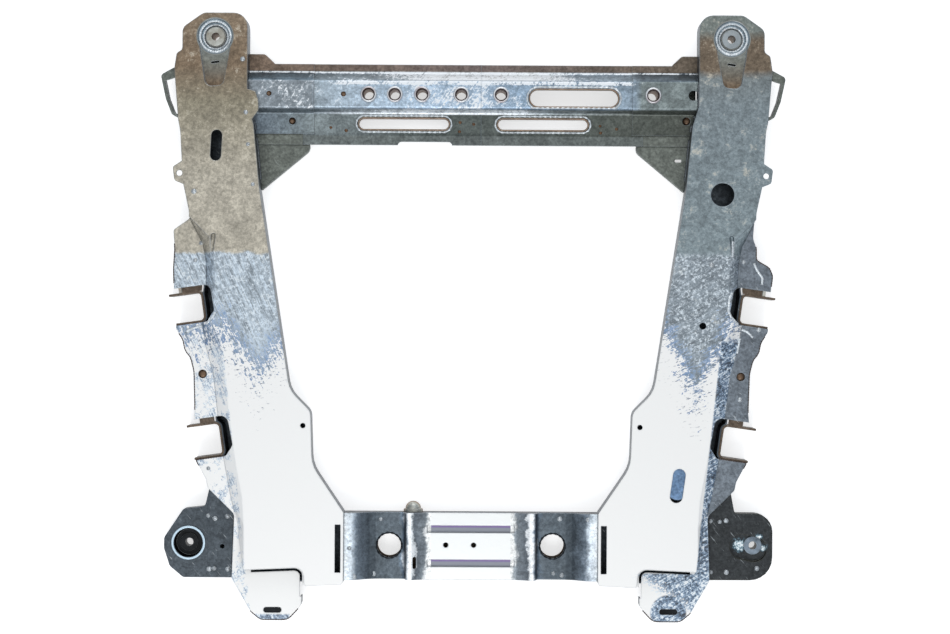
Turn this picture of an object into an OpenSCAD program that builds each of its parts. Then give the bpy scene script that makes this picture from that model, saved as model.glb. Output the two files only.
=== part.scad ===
// Front subframe: a welded cradle of pressed sheet steel that carries the engine
// and the lower control arms. +Z is up, +Y is the front of the vehicle, +X is its
// right-hand side seen from above, and the origin is under the middle of the frame.

/* [Body mounts] */
// Overall length, from the front of the rail heads to the ends of the rear tabs
frame_length = 1064; // [1052:1:1084]
// Distance between the two front body mounts
front_mount_span = 905; // [880:1:930]
// Distance between the two rear body mounts
rear_mount_span = 996; // [980:1:1010]
// Distance from the front body mounts back to the rear ones
mount_length = 890; // [880:1:900]
// Bolt hole through every mount sleeve
mount_bore_d = 14; // [10:0.5:18]
// Outer diameter of the mount sleeves
mount_sleeve_d = 24; // [21:0.5:27]

/* [Sheet] */
// Thickness of the pressed sheets
sheet_t = 2.5; // [2:0.1:3]
// Thickness of the control arm bracket plate
bracket_t = 4; // [3:0.1:5]
// Room left between two sheets that lap
weld_gap = 0.2; // [0.1:0.05:0.5]

/* [Rails] */
// Height of the rails, floor to top plate
rail_h = 72; // [66:1:84]
// Step from the top plate down to the outer shoulder
shoulder_drop = 18; // [10:1:20]
// Height of the lower edge of the upper shell
skirt_z = 24; // [16:1:30]
// Distance from the front mount to the front edge of its head
head_front = 41; // [38:1:46]
// Half the width of a rail head
head_half_w = 57; // [52:1:60]
// Distance of the lower shell's outer wall from the foot of the slope
wall_out = 8; // [5:1:10]
// Depth of the round cup around a front mount
cup_depth = 14; // [8:1:16]
// Radius of the front mount cup at its rim
cup_r = 31; // [27:1:34]
// Depth of the trough behind the cup
trough_depth = 5; // [3:0.5:7]

/* [Control arm brackets] */
// Distance of the front arm bolt from the middle plane
arm_front_x = 503; // [498:1:508]
// Distance of the rear arm bolt from the middle plane
arm_rear_x = 470; // [466:1:474]
// Distance of the front arm bolts behind the middle between front and rear mounts
arm_setback = 32; // [26:1:38]
// Distance between the two arm bolts along the frame
arm_pitch = 233; // [227:1:239]
// Clear width of the front bracket
arm_gap_front = 48; // [42:1:52]
// Clear width of the rear bracket
arm_gap_rear = 54; // [48:1:58]
// Bolt hole in the legs of the front brackets
arm_front_bore_d = 14; // [10:0.5:16]
// Bolt hole in the legs of the rear brackets
arm_rear_bore_d = 12; // [10:0.5:16]
// Height of the arm bolts
arm_bolt_z = 26; // [22:1:30]

/* [Front crossmember] */
// Distance from the front mounts back to the middle of the crossmember's top face
front_beam_setback = 99; // [94:1:104]
// Width of the top face
front_beam_w = 47; // [42:1:52]
// Height of the top face
front_beam_h = 60; // [52:1:64]
// Height of the front and rear flanges
front_flange_z = 36; // [32:1:40]
// Half length of the middle sheet that shows between the end pieces
front_beam_half = 280; // [265:1:295]
// Bore of the spacer tubes
spacer_bore_d = 17.5; // [12:0.5:19]

/* [Rear crossmember] */
// Half length of the rear crossmember, middle to rail
rear_beam_half = 223; // [218:1:228]
// Width of the rear crossmember
rear_beam_w = 118; // [108:1:124]
// Height of the two ridges beside the middle panel
ridge_h = 58; // [52:1:62]
// Height of the middle panel
panel_h = 48; // [44:1:50]
// Height of the low stretch between a ridge and a rail
dip_h = 38; // [32:1:42]
// Diameter of the access holes
access_d = 42; // [32:1:48]

/* [Outriggers] */
// Height of the outriggers that carry the rear mounts
outrigger_h = 40; // [34:1:44]
// Reach of the left outrigger past its mount
left_reach = 43; // [38:1:46]
// Reach of the right outrigger past its mount
right_reach = 34; // [32:1:44]
// Depth of the flanged cup in the left outrigger
rear_cup_depth = 17; // [14:1:20]
// Depth of the oval dish pressed into the right outrigger
dish_depth = 9; // [6:1:12]

/* [Hidden] */
$fn = 48;

// Places that the other sizes fix
front_mount = [front_mount_span / 2, frame_length / 2 - head_front];
rear_mount = [rear_mount_span / 2, front_mount.y - mount_length];
front_beam_y = front_mount.y - front_beam_setback;
rear_beam_y = rear_mount.y - 3;
rear_beam_front = rear_beam_y + rear_beam_w / 2;
rear_beam_back = rear_beam_y - rear_beam_w / 2;
arm_front = [arm_front_x, (front_mount.y + rear_mount.y) / 2 - arm_setback];
arm_rear = [arm_rear_x, arm_front.y - arm_pitch];
arm_tilt = atan((arm_front_x - arm_rear_x) / arm_pitch);

// Heights that the other sizes fix
shoulder_z = rail_h - shoulder_drop;
lower_wall_z = shoulder_z - sheet_t;
cup_floor_z = rail_h - cup_depth;

// Inner edge of a rail where the crossmembers meet it
rail_front_x = front_mount.x - head_half_w;
rail_rear_x = rear_beam_half;

// Outer edge of a rail beside the rear mount
rail_outer_x = rear_mount.x - 78;

// Where a corner gusset runs out along the rail
gusset_end_y = front_beam_y - 168;

// Bracket and lap sizes shared by neighbours
web_back = 29;
notch_bend = 9;
notch_relief = 18;
lap = sheet_t + weld_gap;
far = 120;

zinc_tan = "#a09a88";
zinc_blue = "#a8b0ba";
zinc_pale = "#d8dcdc";
zinc_dark = "#46494d";
steel_grey = "#8a9092";

// Plane geometry

function unit(v) = v / norm(v);
function turned(v, a) = [v.x * cos(a) - v.y * sin(a), v.x * sin(a) + v.y * cos(a)];
function left_of(v) = [-v.y, v.x];
function flat(p) = [p.x, p.y];
function near(place, points) = [for (p = points) [place.x + p.x, place.y + p.y, p[2]]];

// The arc that rounds corner b between a and c, as long as the edges allow
function corner(a, b, c, r) =
    let (
        u = unit(a - b),
        v = unit(c - b),
        half = acos(max(-1, min(1, u * v))) / 2,
        room = 0.48 * min(norm(a - b), norm(c - b)) * tan(half),
        fit = min(r, room)
    )
    fit < 0.05 || half > 89 ? [b] :
    let (
        centre = b + unit(u + v) * fit / sin(half),
        start = b + u * fit / tan(half) - centre,
        turn = (180 - 2 * half) * sign(cross(b - a, c - b)),
        steps = max(1, ceil(abs(turn) / 15))
    )
    [for (i = [0:steps]) centre + turned(start, turn * i / steps)];

// A closed outline of [x, y, r] corners as plain points
function rounded(path) =
    let (n = len(path))
    [for (i = [0:n - 1])
        each corner(flat(path[(i + n - 1) % n]), flat(path[i]), flat(path[(i + 1) % n]), path[i][2])];

// An open line of [x, y, r] corners as plain points
function bent(path) =
    let (n = len(path))
    [for (i = [0:n - 1])
        each i == 0 || i == n - 1 ? [flat(path[i])] :
            corner(flat(path[i - 1]), flat(path[i]), flat(path[i + 1]), path[i][2])];

// A counter-clockwise outline moved inward by d, its corner radii with it
function inset(path, d) =
    let (n = len(path))
    [for (i = [0:n - 1])
        let (
            a = unit(flat(path[i]) - flat(path[(i + n - 1) % n])),
            b = unit(flat(path[(i + 1) % n]) - flat(path[i])),
            shift = (left_of(a) + left_of(b)) * d / (1 + a * b),
            r = path[i][2]
        )
        [path[i].x + shift.x, path[i].y + shift.y, r == 0 ? 0 : max(0.5, r - d * sign(cross(a, b)))]];

// An open line moved to its left by d
function beside(line, d) =
    let (n = len(line))
    [for (i = [0:n - 1])
        let (
            a = unit(line[max(i, 1)] - line[max(i, 1) - 1]),
            b = unit(line[min(i, n - 2) + 1] - line[min(i, n - 2)])
        )
        line[i] + (left_of(a) + left_of(b)) * d / (1 + a * b)];

// A strip between two lines that run beside one another
function strip(line, from, to) =
    let (a = beside(line, from), b = beside(line, to), n = len(line))
    concat(a, [for (i = [n - 1:-1:0]) b[i]]);

module prism(points, z0, z1) {
    translate([0, 0, z0]) linear_extrude(z1 - z0) polygon(points);
}

// A slot with round ends, long along X
module slot_prism(length, width, z0, z1) {
    straight = length - width;
    translate([-straight / 2, -width / 2, z0]) cube([straight, width, z1 - z0]);
    for (s = [-1, 1])
        translate([s * straight / 2, 0, z0]) cylinder(d = width, h = z1 - z0);
}

// A hole straight down through everything at p
module drill(p, d) {
    translate([p.x, p.y, -1]) cylinder(d = d, h = rail_h + far);
}

// A shell from its outer block, its inner block, the dies pressed into it and the
// same dies grown by the sheet
module pressed() {
    difference() {
        children(0);
        children(2);
        difference() {
            children(1);
            children(3);
        }
    }
}

module on_side(side) {
    if (side == "left") mirror([1, 0, 0]) children();
    else children();
}

// Rail outlines, drawn for the right-hand side, counter-clockwise

function rail_inner() = [
    [rail_front_x, front_mount.y + head_front, 24],
    [rail_front_x, front_beam_y - 20, 8],
    [rail_front_x - 11, front_beam_y - 54, 20],
    [rail_front_x - 22, gusset_end_y, 100],
    [rail_rear_x + 96, arm_rear.y + 91, 50],
    [rail_rear_x + 59, arm_rear.y + 54, 20],
    [rail_rear_x + 56, rear_beam_front + 84, 60],
    [rail_rear_x, rear_beam_front + 1, 6],
    [rail_rear_x, rear_beam_back - 7, 6]
];

function rail_head() = near(front_mount, [
    [71, 42 - front_beam_setback, 10],
    [67, -30, 8],
    [head_half_w, -24, 8],
    [head_half_w, 15, 16],
    [20, head_front, 18]
]);

function rail_flank() = concat(
    [[front_mount.x + 44, arm_front.y + 171, 30]],
    near([front_mount.x, front_beam_y], [[54, -161, 10], [57, -119, 30], [60, -67, 30], [64, -46, 20]])
);

// The shoulder's outer edge ahead of the front bracket differs on the two sides
function shoulder_front(side) = near(arm_front, side == "left" ?
    [[21, 37, 8], [22, 70, 8], [20, 105, 20], [23, 138, 8], [-7, 159, 10]] :
    [[22, 37, 8], [25, 63, 12], [19, 77, 8], [-4, 90, 8], [-4, 112, 12], [-10, 129, 20]]);

function shoulder_rear() = concat(
    [[rail_outer_x - 4, rear_beam_front - 4, 14], [rear_mount.x - 35, rear_beam_front + 42, 12]],
    near(arm_rear, [[-4, -67, 8], [13, -35, 8], [18, 37, 10], [16, 59, 20], [18, 123, 20]]),
    near(arm_front, [[-9, -86, 10], [1, -74, 10], [5, -54, 10], [17, -37, 8]])
);

tab_end = -frame_length / 2;
tab_x = rail_outer_x - 123;

function rear_tab() = [
    [tab_x, rear_beam_back - 9, 6],
    [tab_x, tab_end + 26, 12],
    [tab_x + 24, tab_end, 18],
    [rail_outer_x - 51, tab_end, 16],
    [rail_outer_x - 33, tab_end + 15, 12],
    [rail_outer_x, rear_beam_back + 1, 10]
];

function rail_foot(side, tab) = concat(
    rail_inner(),
    tab ? rear_tab() : [[rail_outer_x, rear_beam_back - 7, 10]],
    shoulder_rear(),
    shoulder_front(side),
    rail_flank(),
    rail_head()
);

// The top plate ends at this line, and the slope beside it runs down to the shoulder
slope_top = concat(
    near([rail_outer_x, rear_beam_back], [[-22, 18, 0]]),
    near([rail_outer_x, rear_beam_front], [[-22, -22, 0], [-19, 25, 0]]),
    near(arm_rear, [[-57, -35, 0], [-45, 49, 0], [-37, 119, 0]]),
    near(arm_front, [[-62, -61, 0], [-46, -24, 0], [-53, 39, 0], [-51, 84, 0], [-44, 123, 0]]),
    [[front_mount.x + 44, arm_front.y + 161, 0]]
);
slope_foot = concat(
    near([rail_outer_x, rear_beam_back], [[-21, 17, 0]]),
    near([rail_outer_x, rear_beam_front], [[-10, -22, 0], [2, 25, 0]]),
    near(arm_rear, [[-36, -35, 0], [-24, 49, 0], [-16, 119, 0]]),
    near(arm_front, [[-35, -64, 0], [-29, -26, 0], [-36, 39, 0], [-35, 84, 0], [-29, 114, 0]]),
    [[front_mount.x + 45, arm_front.y + 160, 0]]
);

function rail_top() = concat(
    rail_inner(),
    [
        [tab_x - 6, rear_beam_back - 10, 4],
        [tab_x - 4, rear_beam_back + 23, 16]
    ],
    slope_top,
    rail_flank(),
    rail_head()
);

// The solid under the slope between the two lines
module slope() {
    n = len(slope_top);
    inner = [for (p = slope_top) [p.x - 8, p.y]];
    points = concat(
        [for (p = inner) [p.x, p.y, skirt_z]],
        [for (p = inner) [p.x, p.y, rail_h]],
        [for (p = slope_top) [p.x, p.y, rail_h]],
        [for (p = slope_foot) [p.x, p.y, shoulder_z]],
        [for (p = slope_foot) [p.x, p.y, skirt_z]]
    );
    rows = 5;
    sides = [for (row = [0:rows - 1], i = [0:n - 2])
        [row * n + i, row * n + i + 1, (row + 1) % rows * n + i + 1, (row + 1) % rows * n + i]];
    ends = [[for (row = [0:rows - 1]) row * n], [for (row = [rows - 1:-1:0]) row * n + n - 1]];
    polyhedron(points, concat(sides, ends));
}

// The rail's box without the shoulder, whose outer wall stands a little out from the slope
function rail_wall() = [for (i = [2:len(slope_foot) - 2])
    let (p = slope_foot[i]) [p.x + wall_out, p.y, 12]];

function rail_core() = concat(
    rail_inner(),
    [[rail_outer_x, rear_beam_back - 7, 10], [rail_outer_x - 4, rear_beam_front - 4, 14]],
    rail_wall(),
    rail_flank(),
    rail_head()
);

// Everything outside the foot of the slope, where the shoulder plates lie
module shoulder_side(gap) {
    back_y = rear_beam_front - 4;
    share = (back_y - slope_foot[1].y) / (slope_foot[2].y - slope_foot[1].y);
    start = slope_foot[1] + share * (slope_foot[2] - slope_foot[1]);
    last = slope_foot[len(slope_foot) - 1];
    out = rear_mount.x + far;
    line = concat([flat(start)], [for (i = [2:len(slope_foot) - 1]) flat(slope_foot[i])]);
    prism(concat(
        [for (p = line) [p.x + gap, p.y]],
        [[out, last.y], [out, back_y]]
    ), -1, rail_h + 1);
}

// Control arm brackets, in a frame at the bolt with +Y along the bolt

module at_arm(place) {
    translate(place) rotate(-arm_tilt) children();
}

function arm_line(gap) = bent([
    [27, gap / 2, 0],
    [-web_back, gap / 2, 7],
    [-web_back, -gap / 2, 7],
    [21, -gap / 2, 0]
]);

// The space that a bracket takes out of the lower shell
module arm_space(gap, grow, z0, z1) {
    edge = gap / 2 + grow;
    prism(rounded([
        [far, edge, 0], [-web_back - grow, edge, 7 + grow],
        [-web_back - grow, -edge, 7 + grow], [far, -edge, 0]
    ]), z0, z1);
}

// The wider notch in the upper shell, with room for the bend of the bracket
module arm_notch(gap) {
    back = -web_back - bracket_t - notch_relief;
    edge = gap / 2 + bracket_t;
    prism(rounded([
        [far, edge + notch_bend, 0], [back + 3, edge + notch_bend, 14],
        [back, -gap / 2 + 14, 8], [back + 16, -edge, 8], [far, -edge, 0]
    ]), -1, rail_h + 1);
}

lip_length = 36;

module arm_bracket(place, gap, bore_d) {
    line = arm_line(gap);
    flange_z = lower_wall_z;
    edge = gap / 2 + bracket_t;
    front_lip = 18;
    rear_lip = 15;
    difference() {
        union() {
            at_arm(place) prism(strip(line, -bracket_t, 0), 0, flange_z);
            difference() {
                at_arm(place) translate([0, 0, flange_z - sheet_t]) {
                    translate([-web_back - bracket_t, edge - 1, 0]) cube([lip_length, front_lip + 1, sheet_t]);
                    translate([-web_back - bracket_t, -edge - rear_lip, 0])
                        cube([lip_length, rear_lip + 1, sheet_t]);
                }
                rail_block(0);
            }
        }
        at_arm(place) translate([0, 0, arm_bolt_z]) rotate([90, 0, 0])
            cylinder(d = bore_d, h = far, center = true);
    }
}

nut_r = 12;
nut_h = 11;

// The nut sits on the leg away from the other bracket, so the bolts leave between the two
module weld_nut(place, gap, bore_d, away) {
    at_arm(place) translate([0, away * (gap / 2 + bracket_t), arm_bolt_z]) rotate([-90 * away, 0, 0])
        difference() {
            cylinder(r = nut_r, h = nut_h, $fn = 6);
            translate([0, 0, -1]) cylinder(d = bore_d, h = nut_h + 2);
        }
}

// Openings in the rails

oblong = [front_mount.x - 3, front_beam_y - 92];
round_hole = [front_mount.x - 15, front_beam_y - 174];
kidney = [rail_rear_x + 139, rear_beam_front + 51];
tab_slot = [tab_x + 51, tab_end + 17];
lug_hole = [front_mount.x + 61, front_beam_y - 141];
shoulder_hole = arm_rear + [3, 118];
shoulder_hole_d = 15;
bead = arm_front + [-47, 112];
bead_half = 16;
bead_r = 4;
lug_hole_d = 10;

module side_lug() {
    difference() {
        prism(rounded(near(lug_hole, [
            [-24, -27, 0], [-8, -20, 3], [9, -13, 6], [12, 11, 6], [-5, 22, 3], [-24, 29, 0]
        ])), rail_h - sheet_t, rail_h);
        drill(lug_hole, lug_hole_d);
    }
}

// The left rail's top plate reaches a little over the front crossmember
module inner_lug() {
    prism(rounded(near([rail_front_x, front_beam_y], [
        [4, 8, 0], [-14, 3, 4], [-19, -12, 8], [-20, -30, 8], [-7, -48, 4], [4, -50, 0]
    ])), rail_h - sheet_t, rail_h);
}

// The slit that frees the rear tab from the top plate
module tab_slit() {
    line = bent(near([tab_x - 1, rear_beam_back], [[90, 16, 0], [0, 20, 14], [0, -30, 0]]));
    prism(strip(line, 0, 4), skirt_z - 1, rail_h - sheet_t);
    prism(strip(line, 1, 4), skirt_z - 1, rail_h + 1);
}

module rail_openings(side) {
    drill([rail_rear_x + 72, arm_rear.y + 29], 9);
    drill(lug_hole, lug_hole_d);
    translate([tab_slot.x, tab_slot.y, 0]) slot_prism(32, 10, skirt_z, rail_h);
    translate([rail_rear_x + 5, rear_beam_y - 45, shoulder_z - sheet_t]) cube([10, 84, rail_h]);
    translate([front_mount.x, front_mount.y - 45, cup_floor_z]) rotate(-8) slot_prism(14, 3, -9, 20);
    if (side == "left") {
        translate([oblong.x, oblong.y, 0]) rotate(93) slot_prism(54, 19, shoulder_z, rail_h + 1);
    }
    if (side == "right") {
        translate([round_hole.x, round_hole.y, shoulder_z]) cylinder(d = 41, h = rail_h);
        translate([kidney.x, kidney.y, 0]) rotate(82) slot_prism(60, 22, shoulder_z, rail_h + 1);
        drill(arm_front + [-99, -26], 12);
    }
}

// The cup, the trough and the bead pressed into a rail's top plate
module rail_dies(grow) {
    translate([front_mount.x, front_mount.y, cup_floor_z - grow])
        cylinder(r1 = cup_r - 9 + grow, r2 = cup_r + grow, h = cup_depth + grow);
    prism(rounded(inset(rail_trough(), -grow)), rail_h - trough_depth - grow, rail_h + 1);
    translate([bead.x, bead.y, rail_h]) rotate([0, 90, 98]) {
        translate([0, 0, -bead_half]) cylinder(r = bead_r + grow, h = 2 * bead_half);
        for (s = [-1, 1]) translate([0, 0, s * bead_half]) sphere(r = bead_r + grow);
    }
}

function rail_trough() = [
    [front_mount.x - 29, front_mount.y - 5, 4],
    [front_mount.x - 14, front_mount.y - 86, 12],
    [front_mount.x + 16, front_mount.y - 88, 12],
    [front_mount.x + 29, front_mount.y - 5, 4]
];

// The room that a rail's box takes from its neighbours
module rail_block(grow) {
    prism(rounded(inset(rail_core(), -grow)), -1, rail_h + 1);
}

module rail_upper(side) {
    foot = rail_foot(side, true);
    union() {
        difference() {
            pressed() {
                union() {
                    prism(rounded(rail_top()), skirt_z, rail_h);
                    prism(rounded(foot), skirt_z, shoulder_z);
                    slope();
                }
                union() {
                    prism(rounded(inset(rail_top(), sheet_t)), skirt_z - 1, rail_h - sheet_t);
                    prism(rounded(inset(foot, sheet_t)), skirt_z - 1, shoulder_z - sheet_t);
                    translate([-sheet_t / 2, 0, -sheet_t]) slope();
                }
                rail_dies(0);
                rail_dies(sheet_t);
            }
            shoulder_side(0);
            at_arm(arm_front) arm_notch(arm_gap_front);
            at_arm(arm_rear) arm_notch(arm_gap_rear);
            drill(front_mount, mount_sleeve_d + 2 * weld_gap);
            rail_openings(side);
            tab_slit();
        }
        side_lug();
        if (side == "left") inner_lug();
    }
}

module rail_lower() {
    core = rail_core();
    difference() {
        prism(rounded(inset(core, lap)), 0, lower_wall_z);
        difference() {
            prism(rounded(inset(core, lap + sheet_t)), sheet_t, lower_wall_z + 1);
            at_arm(arm_front) arm_space(arm_gap_front, bracket_t + sheet_t, 0, far);
            at_arm(arm_rear) arm_space(arm_gap_rear, bracket_t + sheet_t, 0, far);
        }
        at_arm(arm_front) arm_space(arm_gap_front, bracket_t + weld_gap, -1, far);
        at_arm(arm_rear) arm_space(arm_gap_rear, bracket_t + weld_gap, -1, far);
        drill(front_mount, mount_sleeve_d + 2 * weld_gap);
    }
}

// The flat plates beside the slope, over the lips of the control arm brackets
module rail_shoulder(side) {
    difference() {
        intersection() {
            prism(rounded(rail_foot(side, false)), lower_wall_z, shoulder_z);
            shoulder_side(weld_gap);
        }
        at_arm(arm_front) arm_notch(arm_gap_front);
        at_arm(arm_rear) arm_notch(arm_gap_rear);
        drill(shoulder_hole, shoulder_hole_d);
    }
}

module rail_upper_left() { color(zinc_tan) on_side("left") rail_upper("left"); }
module rail_upper_right() { color(zinc_blue) rail_upper("right"); }
module rail_lower_left() { color(zinc_dark) on_side("left") rail_lower(); }
module rail_lower_right() { color(zinc_dark) rail_lower(); }
module rail_shoulder_left() { color(zinc_tan) on_side("left") rail_shoulder("left"); }
module rail_shoulder_right() { color(zinc_blue) rail_shoulder("right"); }

// Front crossmember, drawn as a sheet line in Y and Z that runs along X

top_front = front_beam_y + front_beam_w / 2;
top_back = front_beam_y - front_beam_w / 2;
flange_front = top_front + 31;
flange_back = top_back - 64;
tray_z = 6;

function front_line() = bent([
    [flange_back, front_flange_z, 0],
    [top_back - 44, front_flange_z, 10],
    [top_back - 7, front_flange_z + 9, 5],
    [top_back, front_beam_h, 5],
    [top_front, front_beam_h, 6],
    [top_front + 15, front_flange_z, 6],
    [flange_front, front_flange_z, 0]
]);

function end_line() = [for (p = front_line()) if (p.x > top_back - 46) p];

function tray_line() = bent([
    [flange_back, front_flange_z - sheet_t, 0],
    [top_back - 42, front_flange_z - sheet_t, 5],
    [top_back - 34, tray_z, 8],
    [top_front + 2, tray_z, 8],
    [top_front + 14, front_flange_z - sheet_t, 5],
    [flange_front, front_flange_z - sheet_t, 0]
]);

// A strip drawn in Y and Z, run along X from x0 to x1
module along_x(points, x0, x1) {
    translate([x0, 0, 0]) rotate([90, 0, 90]) linear_extrude(x1 - x0) polygon(points);
}

end_lap = 20;
pilot_x = -228;
spacer_x = [-184, -138, -90, -21, 49];
end_spacer_x = 316;
upper_slot = [177, front_beam_y - 5.5];
lower_slots = [[-122, top_back - 27], [123, top_back - 27]];
upper_slot_size = [155, 29];
lower_slot_size = [158, 18];
lip_h = 9;
lip_z = front_flange_z - lip_h;

module beam_slot(place, size, grow, height) {
    translate([place.x, place.y, 0]) slot_prism(size.x + 2 * grow, size.y + 2 * grow, 0, height);
}

module beam_slots(grow) {
    beam_slot(upper_slot, upper_slot_size, grow, far);
    for (p = lower_slots) beam_slot(p, lower_slot_size, grow, far);
}

// The sheets are welded from two halves that meet midway between two tubes
beam_joint_x = (spacer_x[3] + spacer_x[4]) / 2;

module beam_half(side) {
    intersection() {
        children();
        translate([side == "left" ? beam_joint_x - frame_length : beam_joint_x, -frame_length, -1])
            cube([frame_length, 2 * frame_length, rail_h + 2]);
    }
}

module front_crossmember_upper() {
    line = front_line();
    reach = front_beam_half + end_lap;
    difference() {
        union() {
            along_x(strip(line, -sheet_t, 0), -reach, reach);
            translate([0, 0, front_beam_h - sheet_t - lip_h])
                beam_slot(upper_slot, upper_slot_size, sheet_t, lip_h + 1);
            intersection() {
                along_x(concat([[flange_back, lip_z]], line, [[flange_front, lip_z]]), -reach, reach);
                for (p = lower_slots) beam_slot(p, lower_slot_size, sheet_t, far);
            }
        }
        beam_slots(0);
        for (x = spacer_x) drill([x, front_beam_y], spacer_d + 2 * weld_gap);
        drill([pilot_x, front_beam_y], 9);
        translate([-85, flange_back - 1, 0]) slot_prism(96, 14, 0, far);
    }
}

module front_crossmember_lower() {
    reach = rail_front_x + 20;
    difference() {
        along_x(strip(tray_line(), -sheet_t, 0), -reach, reach);
        beam_slots(8);
        for (x = spacer_x) drill([x, front_beam_y], spacer_bore_d);
        drill([end_spacer_x, front_beam_y], spacer_bore_d);
        rail_block(weld_gap);
        mirror([1, 0, 0]) rail_block(weld_gap);
        translate([-85, flange_back - 1, 0]) slot_prism(96, 14, 0, far);
    }
}

module front_crossmember_upper_left() { color(zinc_blue) beam_half("left") front_crossmember_upper(); }
module front_crossmember_upper_right() { color(zinc_blue) beam_half("right") front_crossmember_upper(); }
module front_crossmember_lower_left() { color(zinc_dark) beam_half("left") front_crossmember_lower(); }
module front_crossmember_lower_right() { color(zinc_dark) beam_half("right") front_crossmember_lower(); }

// The end piece laps over the middle sheet and flares forward beside the rail
module crossmember_end(side) {
    line = end_line();
    flare = front_flange_z + weld_gap;
    difference() {
        union() {
            along_x(strip(line, weld_gap, weld_gap + sheet_t), front_beam_half, rail_front_x + 20);
            prism(rounded([
                [rail_front_x + 20, top_front + 19, 0], [rail_front_x + 20, flange_front + 17, 0],
                [rail_front_x - 28, flange_front + 17, 8], [rail_front_x - 46, flange_front, 8],
                [rail_front_x - 46, top_front + 19, 0]
            ]), flare, flare + sheet_t);
        }
        rail_block(weld_gap);
        if (side == "right") drill([end_spacer_x, front_beam_y], spacer_d + 2 * weld_gap);
        if (side == "right") drill([rail_front_x - 9, front_beam_y], spacer_bore_d);
        if (side == "right") drill([rail_front_x - 20, top_back - 20], 14);
        if (side == "left") drill([rail_front_x - 77, top_back - 23], 12);
        if (side == "left") drill([rail_front_x - 37, front_beam_y], 9);
    }
}

module crossmember_end_left() { color(zinc_blue) on_side("left") crossmember_end("left"); }
module crossmember_end_right() { color(zinc_blue) crossmember_end("right"); }

// Spacer tubes stand between the two crossmember sheets under a countersunk head
spacer_d = spacer_bore_d + 7;
spacer_head_d = 28;

module spacer_tube(x, z_seat) {
    bore = spacer_bore_d / 2;
    translate([x, front_beam_y, 0]) rotate_extrude() polygon([
        [bore, tray_z], [spacer_d / 2, tray_z], [spacer_d / 2, z_seat],
        [spacer_head_d / 2, z_seat], [spacer_head_d / 2, z_seat + 1.5],
        [spacer_head_d / 2 - 1.5, z_seat + 2.5], [bore + 2.5, z_seat + 2.5], [bore, z_seat - 3]
    ]);
}

module spacer_tubes() {
    color(steel_grey) {
        for (x = spacer_x) spacer_tube(x, front_beam_h);
        spacer_tube(end_spacer_x, front_beam_h + weld_gap + sheet_t);
    }
}

// Gusset in the corner between the front crossmember and a rail
gusset_z = front_flange_z - 2 * sheet_t;
gusset_reach = 105;

function gusset() = [
    [rail_front_x + 4, flange_back + 22, 0], [rail_front_x - gusset_reach, flange_back + 22, 8],
    [rail_front_x - gusset_reach - 3, flange_back - 10, 14], [rail_front_x - 23, gusset_end_y, 4],
    [rail_front_x + 4, gusset_end_y, 0]
];

module corner_gusset(side) {
    difference() {
        prism(rounded(gusset()), gusset_z - 16, gusset_z);
        prism(rounded(inset(gusset(), sheet_t)), gusset_z - 17, gusset_z - sheet_t);
        rail_block(weld_gap);
        translate([0, 0, -weld_gap])
            along_x(strip(tray_line(), -far, 0), -rail_front_x, rail_front_x + 20);
        if (side == "right") translate([rail_front_x - 33, flange_back - 25, 0]) slot_prism(12, 5, 0, far);
    }
}

module corner_gusset_left() { color(zinc_dark) on_side("left") corner_gusset("left"); }
module corner_gusset_right() { color(zinc_dark) corner_gusset("right"); }

// Front mount sleeve: a crush tube with a round head in the cup
sleeve_head_d = 33;
sleeve_head_h = 5;

module front_mount_sleeve() {
    translate([front_mount.x, front_mount.y, 0]) difference() {
        union() {
            cylinder(d = mount_sleeve_d, h = cup_floor_z + 1);
            translate([0, 0, cup_floor_z]) cylinder(d = sleeve_head_d, h = sleeve_head_h);
        }
        translate([0, 0, -1]) cylinder(d = mount_bore_d, h = rail_h);
    }
}

module front_mount_sleeve_left() { color(steel_grey) on_side("left") front_mount_sleeve(); }
module front_mount_sleeve_right() { color(steel_grey) front_mount_sleeve(); }

// Tie-down hook: a bent strap beside the head, closed above by a small web
hook_t = 5;
hook_z = [30, 62];

module tie_down_hook(side) {
    tip = [front_mount.x + 96, front_mount.y - 67];
    line = bent([
        [front_mount.x + 66, front_mount.y - 51, 0], [tip.x, tip.y, 7],
        [tip.x - 9, tip.y - 42, 14], [tip.x - 20, tip.y - 70, 8], [front_mount.x + 58, tip.y - 78, 0]
    ]);
    difference() {
        union() {
            prism(strip(line, -hook_t, 0), hook_z[0], hook_z[1]);
            prism(rounded([
                [front_mount.x + 60, front_mount.y - 50, 0], [front_mount.x + 60, front_mount.y - 68, 0],
                [tip.x - 18, tip.y - 8, 4], [tip.x - 4, tip.y - 12, 2], [tip.x - 1, tip.y, 3]
            ]), hook_z[1] - sheet_t, hook_z[1]);
        }
        rail_block(weld_gap);
    }
}

module tie_down_hook_left() { color(zinc_blue) on_side("left") tie_down_hook("left"); }
module tie_down_hook_right() { color(zinc_blue) tie_down_hook("right"); }

module arm_bracket_front_left() { color(zinc_dark) on_side("left") arm_bracket(arm_front, arm_gap_front, arm_front_bore_d); }
module arm_bracket_front_right() { color(zinc_dark) arm_bracket(arm_front, arm_gap_front, arm_front_bore_d); }
module arm_bracket_rear_left() { color(zinc_dark) on_side("left") arm_bracket(arm_rear, arm_gap_rear, arm_rear_bore_d); }
module arm_bracket_rear_right() { color(zinc_dark) arm_bracket(arm_rear, arm_gap_rear, arm_rear_bore_d); }

module arm_weld_nuts() {
    color(steel_grey) for (side = ["left", "right"]) on_side(side) {
        weld_nut(arm_front, arm_gap_front, arm_front_bore_d, 1);
        weld_nut(arm_rear, arm_gap_rear, arm_rear_bore_d, -1);
    }
}

// Outriggers: a pressed top over a tray, welded to the rail's outer side

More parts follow.
